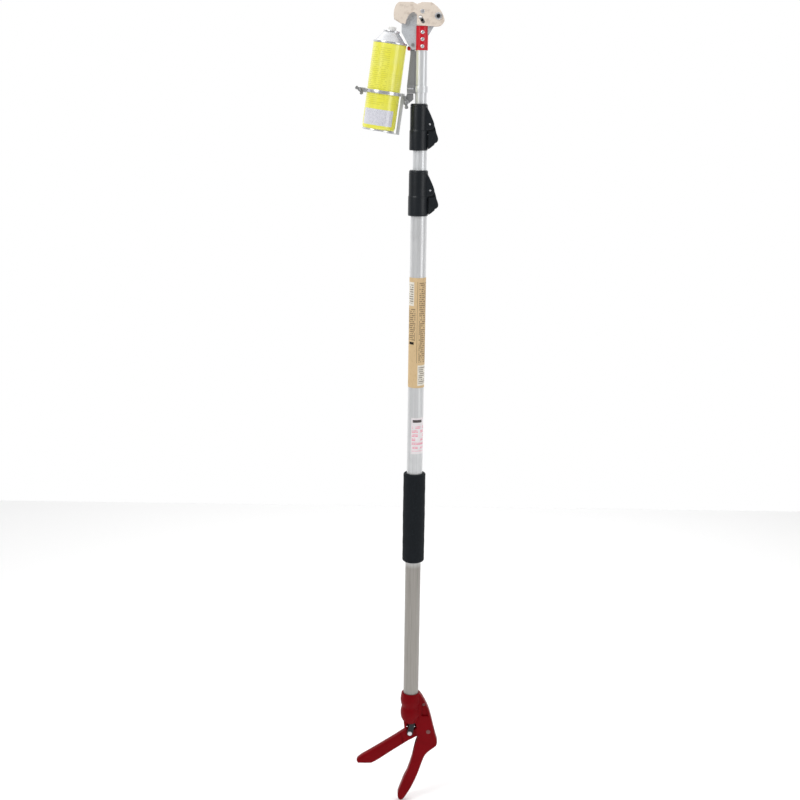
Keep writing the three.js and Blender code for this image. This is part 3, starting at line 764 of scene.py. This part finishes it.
def solid_pin(at, radius, y0, y1, sides=48):
    """A plain pin along Y; turned heights run the other way from Y."""
    return across_y(solid_disc(radius, -y1, -y0, sides=sides), at)


def turned_pin(name, at, profile, slot, body, node, sides=48, finish=None):
    """A pin along Y with a profile of (radius, y)."""
    mesh = lathe_mesh(name, [(radius, -y) for radius, y in profile], sides=sides)
    return add_piece(name, across_y(mesh, at), body, slot, (node,), finish=finish)


CLAMP_PIN_DROP = 39.5
CLAMP_STEP_DROP = 51.5
CLAMP_LENGTH = 91
CLAMP_PIN_R = 2


def clamp(name, body, lever, top, slid, held, x, left, right):
    """A flip-lever clamp: barrel with cheeks, top collar, pin and lever."""
    centre = (left + right) / 2
    radius = (right - left) / 2

    def at(points):
        return [(px + x, pz + top) for px, pz in points]

    pivot = (19 + x, top - CLAMP_PIN_DROP)
    step = top - CLAMP_STEP_DROP
    foot = top - CLAMP_LENGTH
    barrel = lathe_mesh("barrel", [(0, foot)] + rounded(
        [(radius - 0.6, foot), (radius, foot + 1.6), (radius, step - 1.4),
         (radius - 0.9, step + 0.6), (radius - 0.9, top - 6.4), (radius - 1.3, top - 6)],
        1.2, closed=False) + [(0, top - 6)], (centre, 0))
    contour = rounded(at([
        (0, -6), (12.2, -6), (15.2, -10.5), (19, -18), (25.4, -32), (28, -39.5),
        (27.4, -45), (23, -50), (14, -52), (0, -52)]), [0, 1.5, 3, 6, 6, 4, 4, 4, 3, 0])
    cheeks = eased_slab("cheeks", contour, -11, 11, 1.6)
    pad = eased_slab("pad", [(right - 3, foot + 5.2), (right + 3, foot + 5.2),
                             (right + 3, foot + 30.6), (right - 3, foot + 30.6)],
                     -6.8, 6.8, 0.5)
    whole = carve(barrel, [cheeks, pad], "UNION")
    whole = carve(whole, [
        solid_disc(slid + GAP, step - 1, top + 1),
        solid_disc(held + GAP, foot - 1, step + GAP),
        block_mesh((slid + 1.7, 50), (-6, 6), (top - 60, top - 26)),
        solid_pin(pivot, CLAMP_PIN_R + 0.1, -14, 14),
    ])
    add_piece(name + "_clamp_body_finish", whole, body, "black_plastic",
              (name + "_clamp_body",))

    collar = lathe_mesh("collar", [(0, top - 5.7)] + rounded(
        [(radius - 1.2, top - 5.7), (radius - 1.2, top - 2.2), (radius - 3, top)],
        1.4, closed=False) + [(0, top)], (centre, 0))
    collar = carve(collar, [solid_disc(slid + GAP, top - 8, top + 1)])
    add_piece(name + "_clamp_collar_finish", collar, body, "black_plastic",
              (name + "_clamp_collar",))

    turned_pin(name + "_clamp_pin_finish", pivot, rounded(
        [(0, -11.9), (1.9, -11.9), (2, -11.2), (2, 11.2), (1.9, 11.9), (0, 11.9)], 0.3,
        closed=False), "bright_steel", body, name + "_clamp_pin")
    eased(name + "_brake_shoe", 0.3)

    neck = eased_slab("neck", rounded(at([
        (13.9, -43), (13.9, -58.8), (16, -60), (33, -60), (31, -51), (28.8, -43.5),
        (25, -36), (19, -34.6)]), [1, 0.5, 0, 1, 3, 4, 4, 3]), -5.6, 5.6, 0.5)
    paddle = eased_slab("paddle", rounded(at([
        (15.9, -53.5), (30.6, -53.5), (33.4, -59), (35.9, -66.5), (35.9, -71.5),
        (32.4, -75.6), (29, -76.8), (28.6, -79.4), (20, -86.6), (15.9, -88.5)]),
        [0.6, 1.5, 4, 3, 3, 3, 1.4, 1.6, 3, 0.8]), -10.5, 10.5, 1.7)
    blade = carve(paddle, [neck], "UNION")
    blade = carve(blade, [
        solid_disc(radius + 0.4, foot - 2, top - 60.2, (centre, 0)),
        block_mesh((right - 1, right + 3.4), (-7.2, 7.2), (top - 86.2, top - 60)),
        solid_pin(pivot, CLAMP_PIN_R + 0.1, -14, 14),
    ])
    add_piece(name + "_clamp_lever_finish", blade, lever, "black_plastic",
              (name + "_clamp_lever",))


clamp("lower", "pole_base", "lower_lever", 736, MIDDLE_R, OUTER_R, 2.9, -22.3, 18.4)
clamp("upper", "middle_stage", "upper_lever", 866, INNER_R, MIDDLE_R, 0, -21.5, 15.5)


# ---- handle and trigger ----------------------------------------------------

def bend(points, steps=6):
    """A smooth open curve through all the points."""
    ends = [points[0], *points, points[-1]]
    out = []
    for i in range(len(points) - 1):
        p0, p1, p2, p3 = (Vector(point) for point in ends[i:i + 4])
        out += curve_between(p0, p1, p2, p3, steps)
    return out + [points[-1]]


def contour_of(start, *runs):
    """A closed contour of straight runs and smooth curves, each from the last point."""
    points = [start]
    for kind, more in runs:
        points += bend([points[-1], *more])[1:] if kind == "curve" else more
    return points


PIVOT = (40.1, -497)
LINK_AT = (-1, -502.5)
ROD_AT = (6, -473.5)
SCREW_AT = (29.1, -432.5)
SHELL_HALF = 12

shell_contour = contour_of(
    (6, -406), ("line", [(18.6, -406)]),
    ("curve", [(27, -418), (38, -440), (45.6, -464), (52.4, -493), (57.6, -512)]),
    ("curve", [(60.4, -522), (58.6, -532.5), (50.6, -540)]),
    ("curve", [(39, -550), (30.6, -564), (18.4, -601), (5, -634), (-8, -657.5)]),
    ("curve", [(-14.4, -666), (-20, -668), (-25.2, -664), (-26.4, -652)]),
    ("curve", [(-14.8, -618), (-4.7, -594), (4.6, -562), (10.6, -533), (17, -513)]),
    ("line", [(12, -500), (9, -481), (-4, -467)]))
socket_profile = [(0, -479)] + bend([
    (12, -479), (15.6, -475.5), (20.5, -466), (22.2, -455), (21.4, -446), (19.8, -438.5),
    (21.4, -431), (22.6, -423.5), (21.8, -414), (20.4, -407), (19, -406)]) + [(0, -406)]
sweep_contour = [
    (-30, -464), (9.5, -478), (30, -484), (40, -481), (54, -490), (54, -509), (41, -514),
    (24, -529), (12, -556), (-60, -556)]
pocket_contour = rounded([(24, -416), (28, -418), (36.5, -441), (39.5, -459), (24, -459)],
                         1.5)


def handle():
    """Both moulded shells, with the parting line as a fine groove between them."""
    body = slab_mesh("handle", shell_contour, -SHELL_HALF, SHELL_HALF,
                     edged(5.4, 5 / (2 * SHELL_HALF), 7))
    guard = eased_slab("guard", [(-15, -474), (-8.3, -474), (-8.3, -491), (-13, -491)],
                       -SHELL_HALF, SHELL_HALF, 1)
    wall = slab_mesh("wall", [(-13.5, -470), (14, -470), (14, -496.5), (-10, -496.5),
                              (-13, -491)], SHELL_HALF, 14)
    whole = carve(lathe_mesh("socket", socket_profile), [body, guard, wall], "UNION")
    groove = slab_mesh("groove", [(-90, -700), (90, -700), (90, -380), (-90, -380)],
                       -0.15, 0.15)
    cutters = [
        solid_disc(OUTER_R + GAP, -456, -400),
        block_mesh((-10, 15), (-11.8, 11.8), (-490, -455.9)),
        block_mesh((-8.3, 9.7), (-11.8, 11.8), (-516, -479)),
        slab_mesh("sweep", sweep_contour, -6.8, 6.8),
        slab_mesh("pocket_near", pocket_contour, -13, -8.5),
        slab_mesh("pocket_far", pocket_contour, 8.5, 13),
        solid_pin(PIVOT, 9.6, -11, 11),
        solid_pin(PIVOT, 4.3, -14, 14),
        solid_pin(SCREW_AT, 2.3, -14, 14),
        solid_pin(SCREW_AT, 5, -13, -8.9),
        groove,
    ]
    add_piece("handle_finish", carve(whole, cutters), "pole_base", "red_plastic",
              ("handle_shell_near", "handle_shell_far"))


handle()

lever_contour = contour_of(
    (-14.5, -498), ("line", [(-23, -504)]),
    ("curve", [(-52, -524), (-84.9, -546), (-108, -561)]),
    ("curve", [(-116, -567.5), (-119.4, -573), (-116.6, -579)]),
    ("line", [(-102, -579.2), (-86.5, -578.8)]),
    ("curve", [(-71.5, -570), (-44.6, -550.5), (-14.5, -529)]))
neck_contour = [
    (-30, -509), (-14, -497.5), (-8, -494), (8, -494.5), (22, -491), (30, -487.5),
    (30, -504), (14.4, -511), (-4.5, -522), (-19.6, -532.6), (-30, -539.5)]


def trigger():
    """The squeezed lever: a rounded blade with a neck and hub between the shells."""
    blade = slab_mesh("blade", lever_contour, -9, 9, edged(5, 4.6 / 18, 7))
    neck = eased_slab("neck", rounded(neck_contour, 2), -6.2, 6.2, 0.6)
    whole = carve(blade, [neck, solid_pin(PIVOT, 11.5, -6.2, 6.2)], "UNION")
    whole = carve(whole, [solid_pin(PIVOT, 4.3, -14, 14), solid_pin(LINK_AT, 2.8, -14, 14)])
    add_piece("trigger_finish", whole, "trigger", "red_plastic", ("trigger_lever",))


trigger()


def link(node, y0, y1):
    """A flat pressed link with an eye at each end."""
    eyes = ((ROD_AT, 4.6), (LINK_AT, 6.5))
    run = Vector(LINK_AT) - Vector(ROD_AT)
    contour = []
    for (eye, radius), direction in zip(eyes, (-run, run)):
        middle = math.atan2(direction.y, direction.x)
        for step in range(25):
            turn = middle - math.radians(100) + math.radians(200) * step / 24
            contour.append((eye[0] + radius * math.cos(turn),
                            eye[1] + radius * math.sin(turn)))
    bar = eased_slab(node, contour, y0, y1, 0.5)
    bar = carve(bar, [solid_pin(ROD_AT, 2.35, -14, 14), solid_pin(LINK_AT, 2.9, -14, 14)])
    add_piece(node + "_finish", bar, "links", "black_plastic", (node,))


link("pull_link_near", -10.3, -7.3)
link("pull_link_far", 7.3, 10.3)


def domed_pin(node, at, shank, head, reach, body, rise=1.1, lip=0.6, finish=None):
    """A pin with a domed head on both ends."""
    profile = [(0, -reach)] + dome_rows(head, -reach, rise)
    profile += [(head, -reach + rise + lip), (shank, -reach + rise + lip)]
    profile += [(radius, -y) for radius, y in reversed(profile)]
    return turned_pin(node + "_finish", at, profile, "bright_steel", body, node,
                      finish=finish)


domed_pin("link_pin", LINK_AT, 2.5, 4.9, 12.4, "trigger")
domed_pin("trigger_pivot_pin", PIVOT, 4, 4.8, 13.2, "pole_base", 0.6, 0.3, "pivot_steel")
domed_pin("rod_pin", ROD_AT, 2, 3.2, 11.5, "lower_rod", 0.4, 0.3)


def cross_screw(node, at, y_top, y_foot, body, finish):
    """A pan-head screw along Y with a cross recess in its near end."""
    head = 3.3
    shank = 2
    profile = [(0, y_top)] + dome_rows(head, y_top, 0.8, (20, 40, 60, 75, 90))
    profile += [(head, y_top + 1.4), (shank, y_top + 1.4), (shank, y_foot), (0, y_foot)]
    mesh = across_y(lathe_mesh(node, [(radius, -y) for radius, y in profile], sides=40), at)
    x, z = at
    arm = head * 0.55
    mesh = carve(mesh, [
        block_mesh((x - arm, x + arm), (y_top - 1, y_top + 0.9), (z - 0.45, z + 0.45)),
        block_mesh((x - 0.45, x + 0.45), (y_top - 1, y_top + 0.9), (z - arm, z + arm)),
    ])
    add_piece(node + "_finish", mesh, body, SLOT_OF[node], (node,), finish=finish)


cross_screw("shell_screw", SCREW_AT, -9.6, 9.4, "pole_base", "pivot_steel")


def torsion_spring():
    """The return spring's wound coils round the pivot pin."""
    outer, y0, y1 = 8.9, 7.5, 10.5
    wire = 0.75
    middle = (outer - wire) - 0.6
    points = []
    faces = []
    around = 10
    turns = 2
    count = 48 * turns
    for step in range(count + 1):
        turn = math.tau * step / 48
        y = y0 + wire + (y1 - y0 - 2 * wire) * step / count
        for side in range(around):
            lean = math.tau * side / around
            radius = middle + wire * math.cos(lean)
            points.append((PIVOT[0] + radius * math.cos(turn), y + wire * math.sin(lean),
                           PIVOT[1] + radius * math.sin(turn)))
    for step in range(count):
        for side in range(around):
            after = (side + 1) % around
            faces.append((step * around + side, step * around + after,
                          (step + 1) * around + after, (step + 1) * around + side))
    faces.append(tuple(range(around)))
    faces.append(tuple(range(count * around, (count + 1) * around)))
    add_piece("trigger_spring_finish", new_mesh("coil", points, faces), "pole_base",
              "bright_steel", ("trigger_spring",))


torsion_spring()
turned_piece("pull_rod_lower", hollow(7.5, 1.3, -459, 560), sides=48)
rod_foot = eased_slab("rod_foot", rounded(
    [(-7, -480.5), (12, -480.5), (12, -458), (-7, -458)], 2), -6.5, 6.5, 0.6)
add_piece("rod_foot", carve(rod_foot, [solid_pin(ROD_AT, 2.3, -9, 9)]), "lower_rod",
          "black_plastic")
turned_piece("pull_rod_upper", rounded(
    [(0, -240), (4.2, -240), (4.2, 1029), (0, 1029)], 1, closed=False), sides=40)


# ---- head: sleeve, casting and rocker --------------------------------------

SLEEVE_R = INNER_R + GAP + 0.6
ROCKER_AT = (31.3, 1032.5)
RIVET_AT = (0.5, 1041)
ARM_SCREW = (-17.5, 978)
BUMPER_Z = 971.4

turned_piece("head_sleeve", hollow(SLEEVE_R, 0.58, 968, 1014, 0.25))
for number, height in enumerate((1002.2, 988.8, 975.4), 1):
    dome = [(0, -14.8)] + dome_rows(3.7, -14.8, 1.3)
    dome += [(3.7, -12.95), (2, -12.95), (2, -6.8), (0, -6.8)]
    turned_pin(f"head_rivet_{number}_finish", (1.2, height), dome, "bright_steel", "head",
               f"head_rivet_{number}")
eased("head_bracket", 0.9)

cheek_contour = contour_of(
    (-45, 1058),
    ("curve", [(-51, 1053), (-54.8, 1043), (-55.6, 1033), (-54.4, 1026.4)]),
    ("line", [(-41.8, 1019), (-32.8, 1016.4)]),
    ("curve", [(-29.2, 1028), (-23.3, 1036.6), (-16, 1039), (-10.4, 1034)]),
    ("line", [(-10.4, 1014.6), (12.3, 1013.6)]),
    ("curve", [(31, 1013.8), (39.5, 1017.5), (43.4, 1026), (36.4, 1042), (25, 1053.4),
               (17, 1058)]),
    ("line", [(-1, 1058)]),
    ("curve", [(-6, 1056), (-10, 1054.8), (-14, 1056), (-18.4, 1058)]))
slot_ends = ((-3.5, 1030.7), (2, 1021.8))
SLOT_HALF = 3.5


def slot_cutter():
    low, high = Vector(slot_ends[1]), Vector(slot_ends[0])
    run = (high - low).normalized()
    contour = []
    for end, direction in ((high, run), (low, -run)):
        middle = math.atan2(direction.y, direction.x)
        for step in range(17):
            turn = middle - math.radians(90) + math.radians(180) * step / 16
            contour.append((end.x + SLOT_HALF * math.cos(turn),
                            end.y + SLOT_HALF * math.sin(turn)))
    return slab_mesh("slot", contour, -20, 20)


def rocker_cheek(node, y0, y1):
    plate = eased_slab(node, cheek_contour, y0, y1, 0.8)
    plate = carve(plate, [slot_cutter(), solid_pin(ROCKER_AT, 4.35, -20, 20),
                          solid_pin(RIVET_AT, 2.8, -20, 20)])
    add_piece(node + "_finish", plate, "rocker", "beige_paint", (node,))


rocker_cheek("rocker_cheek_near", -15.6, -13.1)
rocker_cheek("rocker_cheek_far", 13.1, 15.6)
eased("presser_block", 0.8)
domed_pin("rocker_rivet", RIVET_AT, 2.5, 4, 17.4, "rocker", 0.8)

bolt = [(0, -17), (4, -17), (4, -18.8), (4.4, -19.2), (6.2, -19.2), (7, -18.5), (7, -15.9),
        (4, -15.9), (4, 15.9), (7, 15.9), (7, 18.4), (6.5, 19), (0, 19)]
turned_pin("rocker_bolt_finish", ROCKER_AT, bolt, "bright_steel", "head", "rocker_bolt")
# Painted shade: a black six-sided floor set in the bolt's near recess, standing in for the
# shade down its hex socket.
socket_shade_floor = across_y(lathe_mesh("socket_shade_floor", [
    (0, 17.05), (3.9, 17.05), (3.9, 18.5), (2.2, 17.9), (0, 17.9)], sides=6), ROCKER_AT)
add_piece("bolt_socket_shade", socket_shade_floor, "head", "black_plastic")
# Painted shade: the steel pull pin is finished black, and black sleeves sit on it in the cheek
# slots, so that the slots read dark as shade.
turned_pin("pull_pin_finish", (0, 1025), [
    (0, -14.2), (1.3, -14.2), (1.8, -13.7), (1.8, 14.9), (1.3, 15.4), (0, 15.4)],
    "bright_steel", "upper_rod", "pull_pin", finish="black_plastic")
slot_shade_sleeves = [lathe_mesh("slot_shade_sleeve", rounded([(1.8, y), (2.25, y), (2.25, y + 2.6), (1.8, y + 2.6)],
                                        0.3), sides=40) for y in (-15.7, 13.1)]
add_piece("pull_pin_shade_sleeves", across_y(merged("slot_shade_sleeves", slot_shade_sleeves), (0, 1025)), "upper_rod",
          "black_plastic")


# ---- head: arm, band, bumper and tilt bracket ------------------------------

eased("holder_arm", 0.7)
eased("tilt_bracket", 0.6)
cross_screw("arm_screw", ARM_SCREW, -8.6, 8.2, "head", "dark_steel")
turned_piece("tube_band", rounded(
    [(12.05, 887.5), (13.65, 887.5), (13.65, 900), (12.05, 900)], 0.5))


def along_x(node, profile, y, z, body, sides=48):
    mesh = across_x(lathe_mesh(node, profile, sides=sides), y, z)
    add_piece(node + "_finish", mesh, body, SLOT_OF[node], (node,))


along_x("bumper_stud", [(0, -21.4), (1.6, -21.4), (1.6, -15), (0, -15)], 0, BUMPER_Z, "head")
along_x("can_bumper", [(0, -28.4)] + dome_rows(4.2, -28.4, 3) + [
    (4.2, -23), (3.7, -21.8), (0, -21.8)], 0, BUMPER_Z, "head")
along_x("band_bolt", [(0, -27), (1.3, -27), (1.7, -26.6), (1.7, -14.9), (0, -14.9)],
        -7.4, 894.7, "head")


def can_point(x, w):
    point = CAN_FRAME @ Vector((x * MM, 0, w * MM))
    return (point.x / MM, point.z / MM)


TILT_AT = can_point(46.5, -10.4)
EAR_BOLT = (-46.2, 1.6)


def hex_headed(name, at, y_tip, y_head, y_end, body, node, where=None):
    """A bolt along Y: a round shank and a six-sided head at its far end."""
    shank = lathe_mesh(name, rounded([(0, -y_tip), (2, -y_tip), (2, -y_head), (0, -y_head)],
                                     0.4, closed=False), sides=32)
    head = lathe_mesh(name, [(0, -y_head), (3.9, -y_head), (3.9, -y_end + 0.5),
                             (3.3, -y_end), (0, -y_end)], sides=6)
    mesh = across_y(merged(name, [shank, head]), at)
    add_piece(name, mesh, body, "bright_steel", (node,), at=where)


def wing_nut(node, at, y0, y1, angles, reach, body, where=None):
    """A cast nut: a round tapered hub and two rounded wings."""
    hub = across_y(lathe_mesh(node, rounded([
        (2.3, -y1), (4.2, -y1), (3.7, -y0), (2.3, -y0)], 0.5), sides=36), at)
    parts = [hub]
    middle = (y0 + y1) / 2
    for angle in angles:
        wing = eased_slab(node, flowing([
            (1.6, -2.4), (6, -2.6), (reach - 3.2, -3.6), (reach - 0.7, -2.6), (reach, 0),
            (reach - 0.7, 2.6), (reach - 3.2, 3.6), (6, 2.6), (1.6, 2.4)], 5),
            middle - 1.2, middle + 1.2, 0.7)
        wing.transform(Matrix.Translation((at[0] * MM, 0, at[1] * MM))
                       @ Matrix.Rotation(math.radians(-angle), 4, "Y"))
        parts.append(wing)
    mesh = carve(parts[0], parts[1:], "UNION")
    mesh = carve(mesh, [solid_pin(at, 2.3, -14, 14)])
    add_piece(node + "_finish", mesh, body, "dark_steel", (node,), at=where)


hex_headed("tilt_bolt_finish", TILT_AT, -11.4, 6.2, 9, "head", "tilt_bolt")
wing_nut("tilt_wing_nut", TILT_AT, -10.6, -6.2, (105, -80), 13, "tilt_nut")


# ---- can, ring and channel, in the can's own frame -------------------------

def in_can(node, mesh, body):
    add_piece(node + "_finish", mesh, body, SLOT_OF[node], (node,), at=CAN_FRAME)


CAN_FOOT = -73
SHOULDER = 95.5
RIM = 121.6

in_can("can_body", lathe_mesh("can_body", [
    (32.9, SHOULDER), (32.4, SHOULDER)] + bend([
        (32.4, -63.7), (31.9, -66.4), (30.8, -68.6), (30.4, -69.5)], 4) + bend([
            (31, -69.5), (31.9, -68), (32.7, -65.8), (33, -63.4)], 4) + [
        (33, 94.6), (33.05, 95.1)], sides=128), "can")
in_can("can_base", lathe_mesh("can_base", bend([
    (0, CAN_FOOT + 10), (15, CAN_FOOT + 8.5), (27, CAN_FOOT + 3.8), (31.4, CAN_FOOT + 3.3)])
    + bend([(31.8, CAN_FOOT + 2.8), (31.9, CAN_FOOT + 0.8), (31, CAN_FOOT), (30.2, CAN_FOOT)])
    + bend([(29.6, CAN_FOOT + 2.2), (26.4, CAN_FOOT + 2.8), (15, CAN_FOOT + 7.4),
            (0, CAN_FOOT + 8.9)]), sides=128), "can")
in_can("can_dome", lathe_mesh("can_dome", [(0, 114.4), (11, 114.4)] + bend([
    (12, 115), (13.3, RIM - 0.9), (14.6, RIM), (16, RIM - 0.9), (16.2, RIM - 2.4),
    (15.9, 117.4)], 5) + bend([
        (17.2, 115), (20.6, 111.4), (24.5, 106.4), (29.2, 100.9), (30.4, 99.6)], 5) + bend([
            (31.4, 98.9), (32.5, 99.7), (33.3, 98.9), (33.4, 96.6), (33, 95.9)], 5) + [
        (31.2, 95.9), (22.8, 107.4), (14.8, 116.2), (12.8, 113.4), (0, 113.4)], sides=128),
    "can")
nozzle = block_mesh((-9, -6), (-0.9, 0.9), (123.8, 125.6))
button = lathe_mesh("button", [(0, 117.8), (1.8, 117.8), (1.8, 122)] + rounded(
    [(8.2, 122), (8.2, 128.4), (0, 127.9)], [0.4, 2, 0], closed=False))
in_can("spray_button", carve(button, [nozzle]), "button")

ring_band = lathe_mesh("ring", rounded(
    [(33.6, -1), (35.4, -1), (35.4, 5.5), (33.6, 5.5)], 0.5), sides=128)
ring_band = carve(ring_band, [block_mesh((-60, -30), (-1.2, 1.2), (-9, 9))])
ears = [eased_slab("ear", rounded([(-50.6, -2.8), (-33.7, -2.8), (-33.7, 6), (-50.6, 6)],
                                  [3.4, 0.4, 0.4, 3.4]), y, y + 1.6, 0.4)
        for y in (-2.8, 1.2)]
ears = [carve(ear, [solid_pin(EAR_BOLT, 2.3, -9, 9)]) for ear in ears]
in_can("can_ring", merged("can_ring", [ring_band, *ears]), "can_holder")
hex_headed("ring_bolt_finish", EAR_BOLT, -8.6, 3.1, 5.6, "can_holder", "ring_bolt", CAN_FRAME)
wing_nut("ring_wing_nut", EAR_BOLT, -7.6, -3.2, (163, -62), 10.4, "ring_nut", CAN_FRAME)
eased("back_channel", 0.5)

# ---- studio ----------------------------------------------------------------

CAMERA_LENS_MM = 57.42
CAMERA_AT = (-0.033, -2.6, 0.892)
CAMERA_DOWN_DEG = 13.66
CAMERA_ROLL_DEG = 0.79
FLOOR_DROP = 0.004
FLOOR_X = (-2.6, 2.6)
FLOOR_Y = (-3, 2.1)


def aim_camera():
    """The camera at the photograph's angle."""
    cam_data = bpy.data.cameras.new("camera")
    cam = linked("camera", cam_data)
    cam_data.lens = CAMERA_LENS_MM
    cam_data.sensor_width = 36
    cam.location = CAMERA_AT
    pitch = math.radians(90 - CAMERA_DOWN_DEG)
    roll = math.radians(CAMERA_ROLL_DEG)
    turn = Euler((pitch, 0, 0)).to_matrix() @ Matrix.Rotation(roll, 3, "Z")
    cam.rotation_euler = turn.to_euler()
    bpy.context.scene.camera = cam


def soft_light(name, at, towards, size, watts):
    data = bpy.data.lights.new(name, "AREA")
    data.shape = "RECTANGLE"
    data.size = size[0]
    data.size_y = size[1]
    data.energy = watts
    light = linked(name, data)
    light.location = at
    light.rotation_euler = (Vector(towards) - Vector(at)).to_track_quat("-Z", "Y").to_euler()


def studio_world():
    """White to look at, and as a light dimmer in front of the object, so metal has form."""
    world = bpy.data.worlds.new("studio")
    world.use_nodes = True
    tree = world.node_tree
    coords = tree.nodes.new("ShaderNodeTexCoord")
    split = tree.nodes.new("ShaderNodeSeparateXYZ")
    tree.links.new(coords.outputs["Generated"], split.inputs[0])
    shade = tree.nodes.new("ShaderNodeMapRange")
    shade.inputs["From Min"].default_value = -0.1
    shade.inputs["From Max"].default_value = 0.45
    shade.inputs["To Min"].default_value = 0.3
    shade.inputs["To Max"].default_value = 1.0
    tree.links.new(split.outputs["Y"], shade.inputs["Value"])
    seen = tree.nodes.new("ShaderNodeLightPath")
    strength = tree.nodes.new("ShaderNodeMath")
    strength.operation = "MAXIMUM"
    tree.links.new(shade.outputs[0], strength.inputs[0])
    tree.links.new(seen.outputs["Is Camera Ray"], strength.inputs[1])
    tree.links.new(strength.outputs[0], tree.nodes["Background"].inputs["Strength"])
    tree.nodes["Background"].inputs["Color"].default_value = (1, 1, 1, 1)
    bpy.context.scene.world = world


def floor():
    """A plain pale board just under the object."""
    mesh = bpy.data.meshes.new("floor")
    low = CAD_BOX[0][2] - FLOOR_DROP
    left, right = FLOOR_X
    front, back = FLOOR_Y
    mesh.from_pydata([(left, front, low), (right, front, low), (right, back, low),
                      (left, back, low)], [], [(0, 1, 2, 3)])
    board = linked("floor", mesh)
    pale = bpy.data.materials.new("pale_floor")
    pale.use_nodes = True
    shader = pale.node_tree.nodes["Principled BSDF"]
    shader.inputs["Base Color"].default_value = (1, 1, 1, 1)
    shader.inputs["Roughness"].default_value = 0.9
    mesh.materials.append(pale)


aim_camera()
floor()
soft_light("key", (-1.7, -1.6, 1.9), (0, 0, 0.2), (1.0, 1.8), 34)
soft_light("fill", (1.9, -1.3, 0.8), (0, 0, 0.2), (1.0, 2.0), 16)
soft_light("rim", (0.6, 1.8, 1.6), (0, 0, 0.3), (1.6, 1.4), 12)
soft_light("overhead", (0, 0.7, 2.9), (0, 0.7, -0.7), (4.4, 4.4), 46)
studio_world()
bpy.context.scene.view_settings.view_transform = "Standard"

# Every CAD node that is still showing takes its slot's finish too.
for node_name, node in NODES.items():
    node.data.materials.clear()
    node.data.materials.append(MATERIALS[SLOT_OF[node_name]])
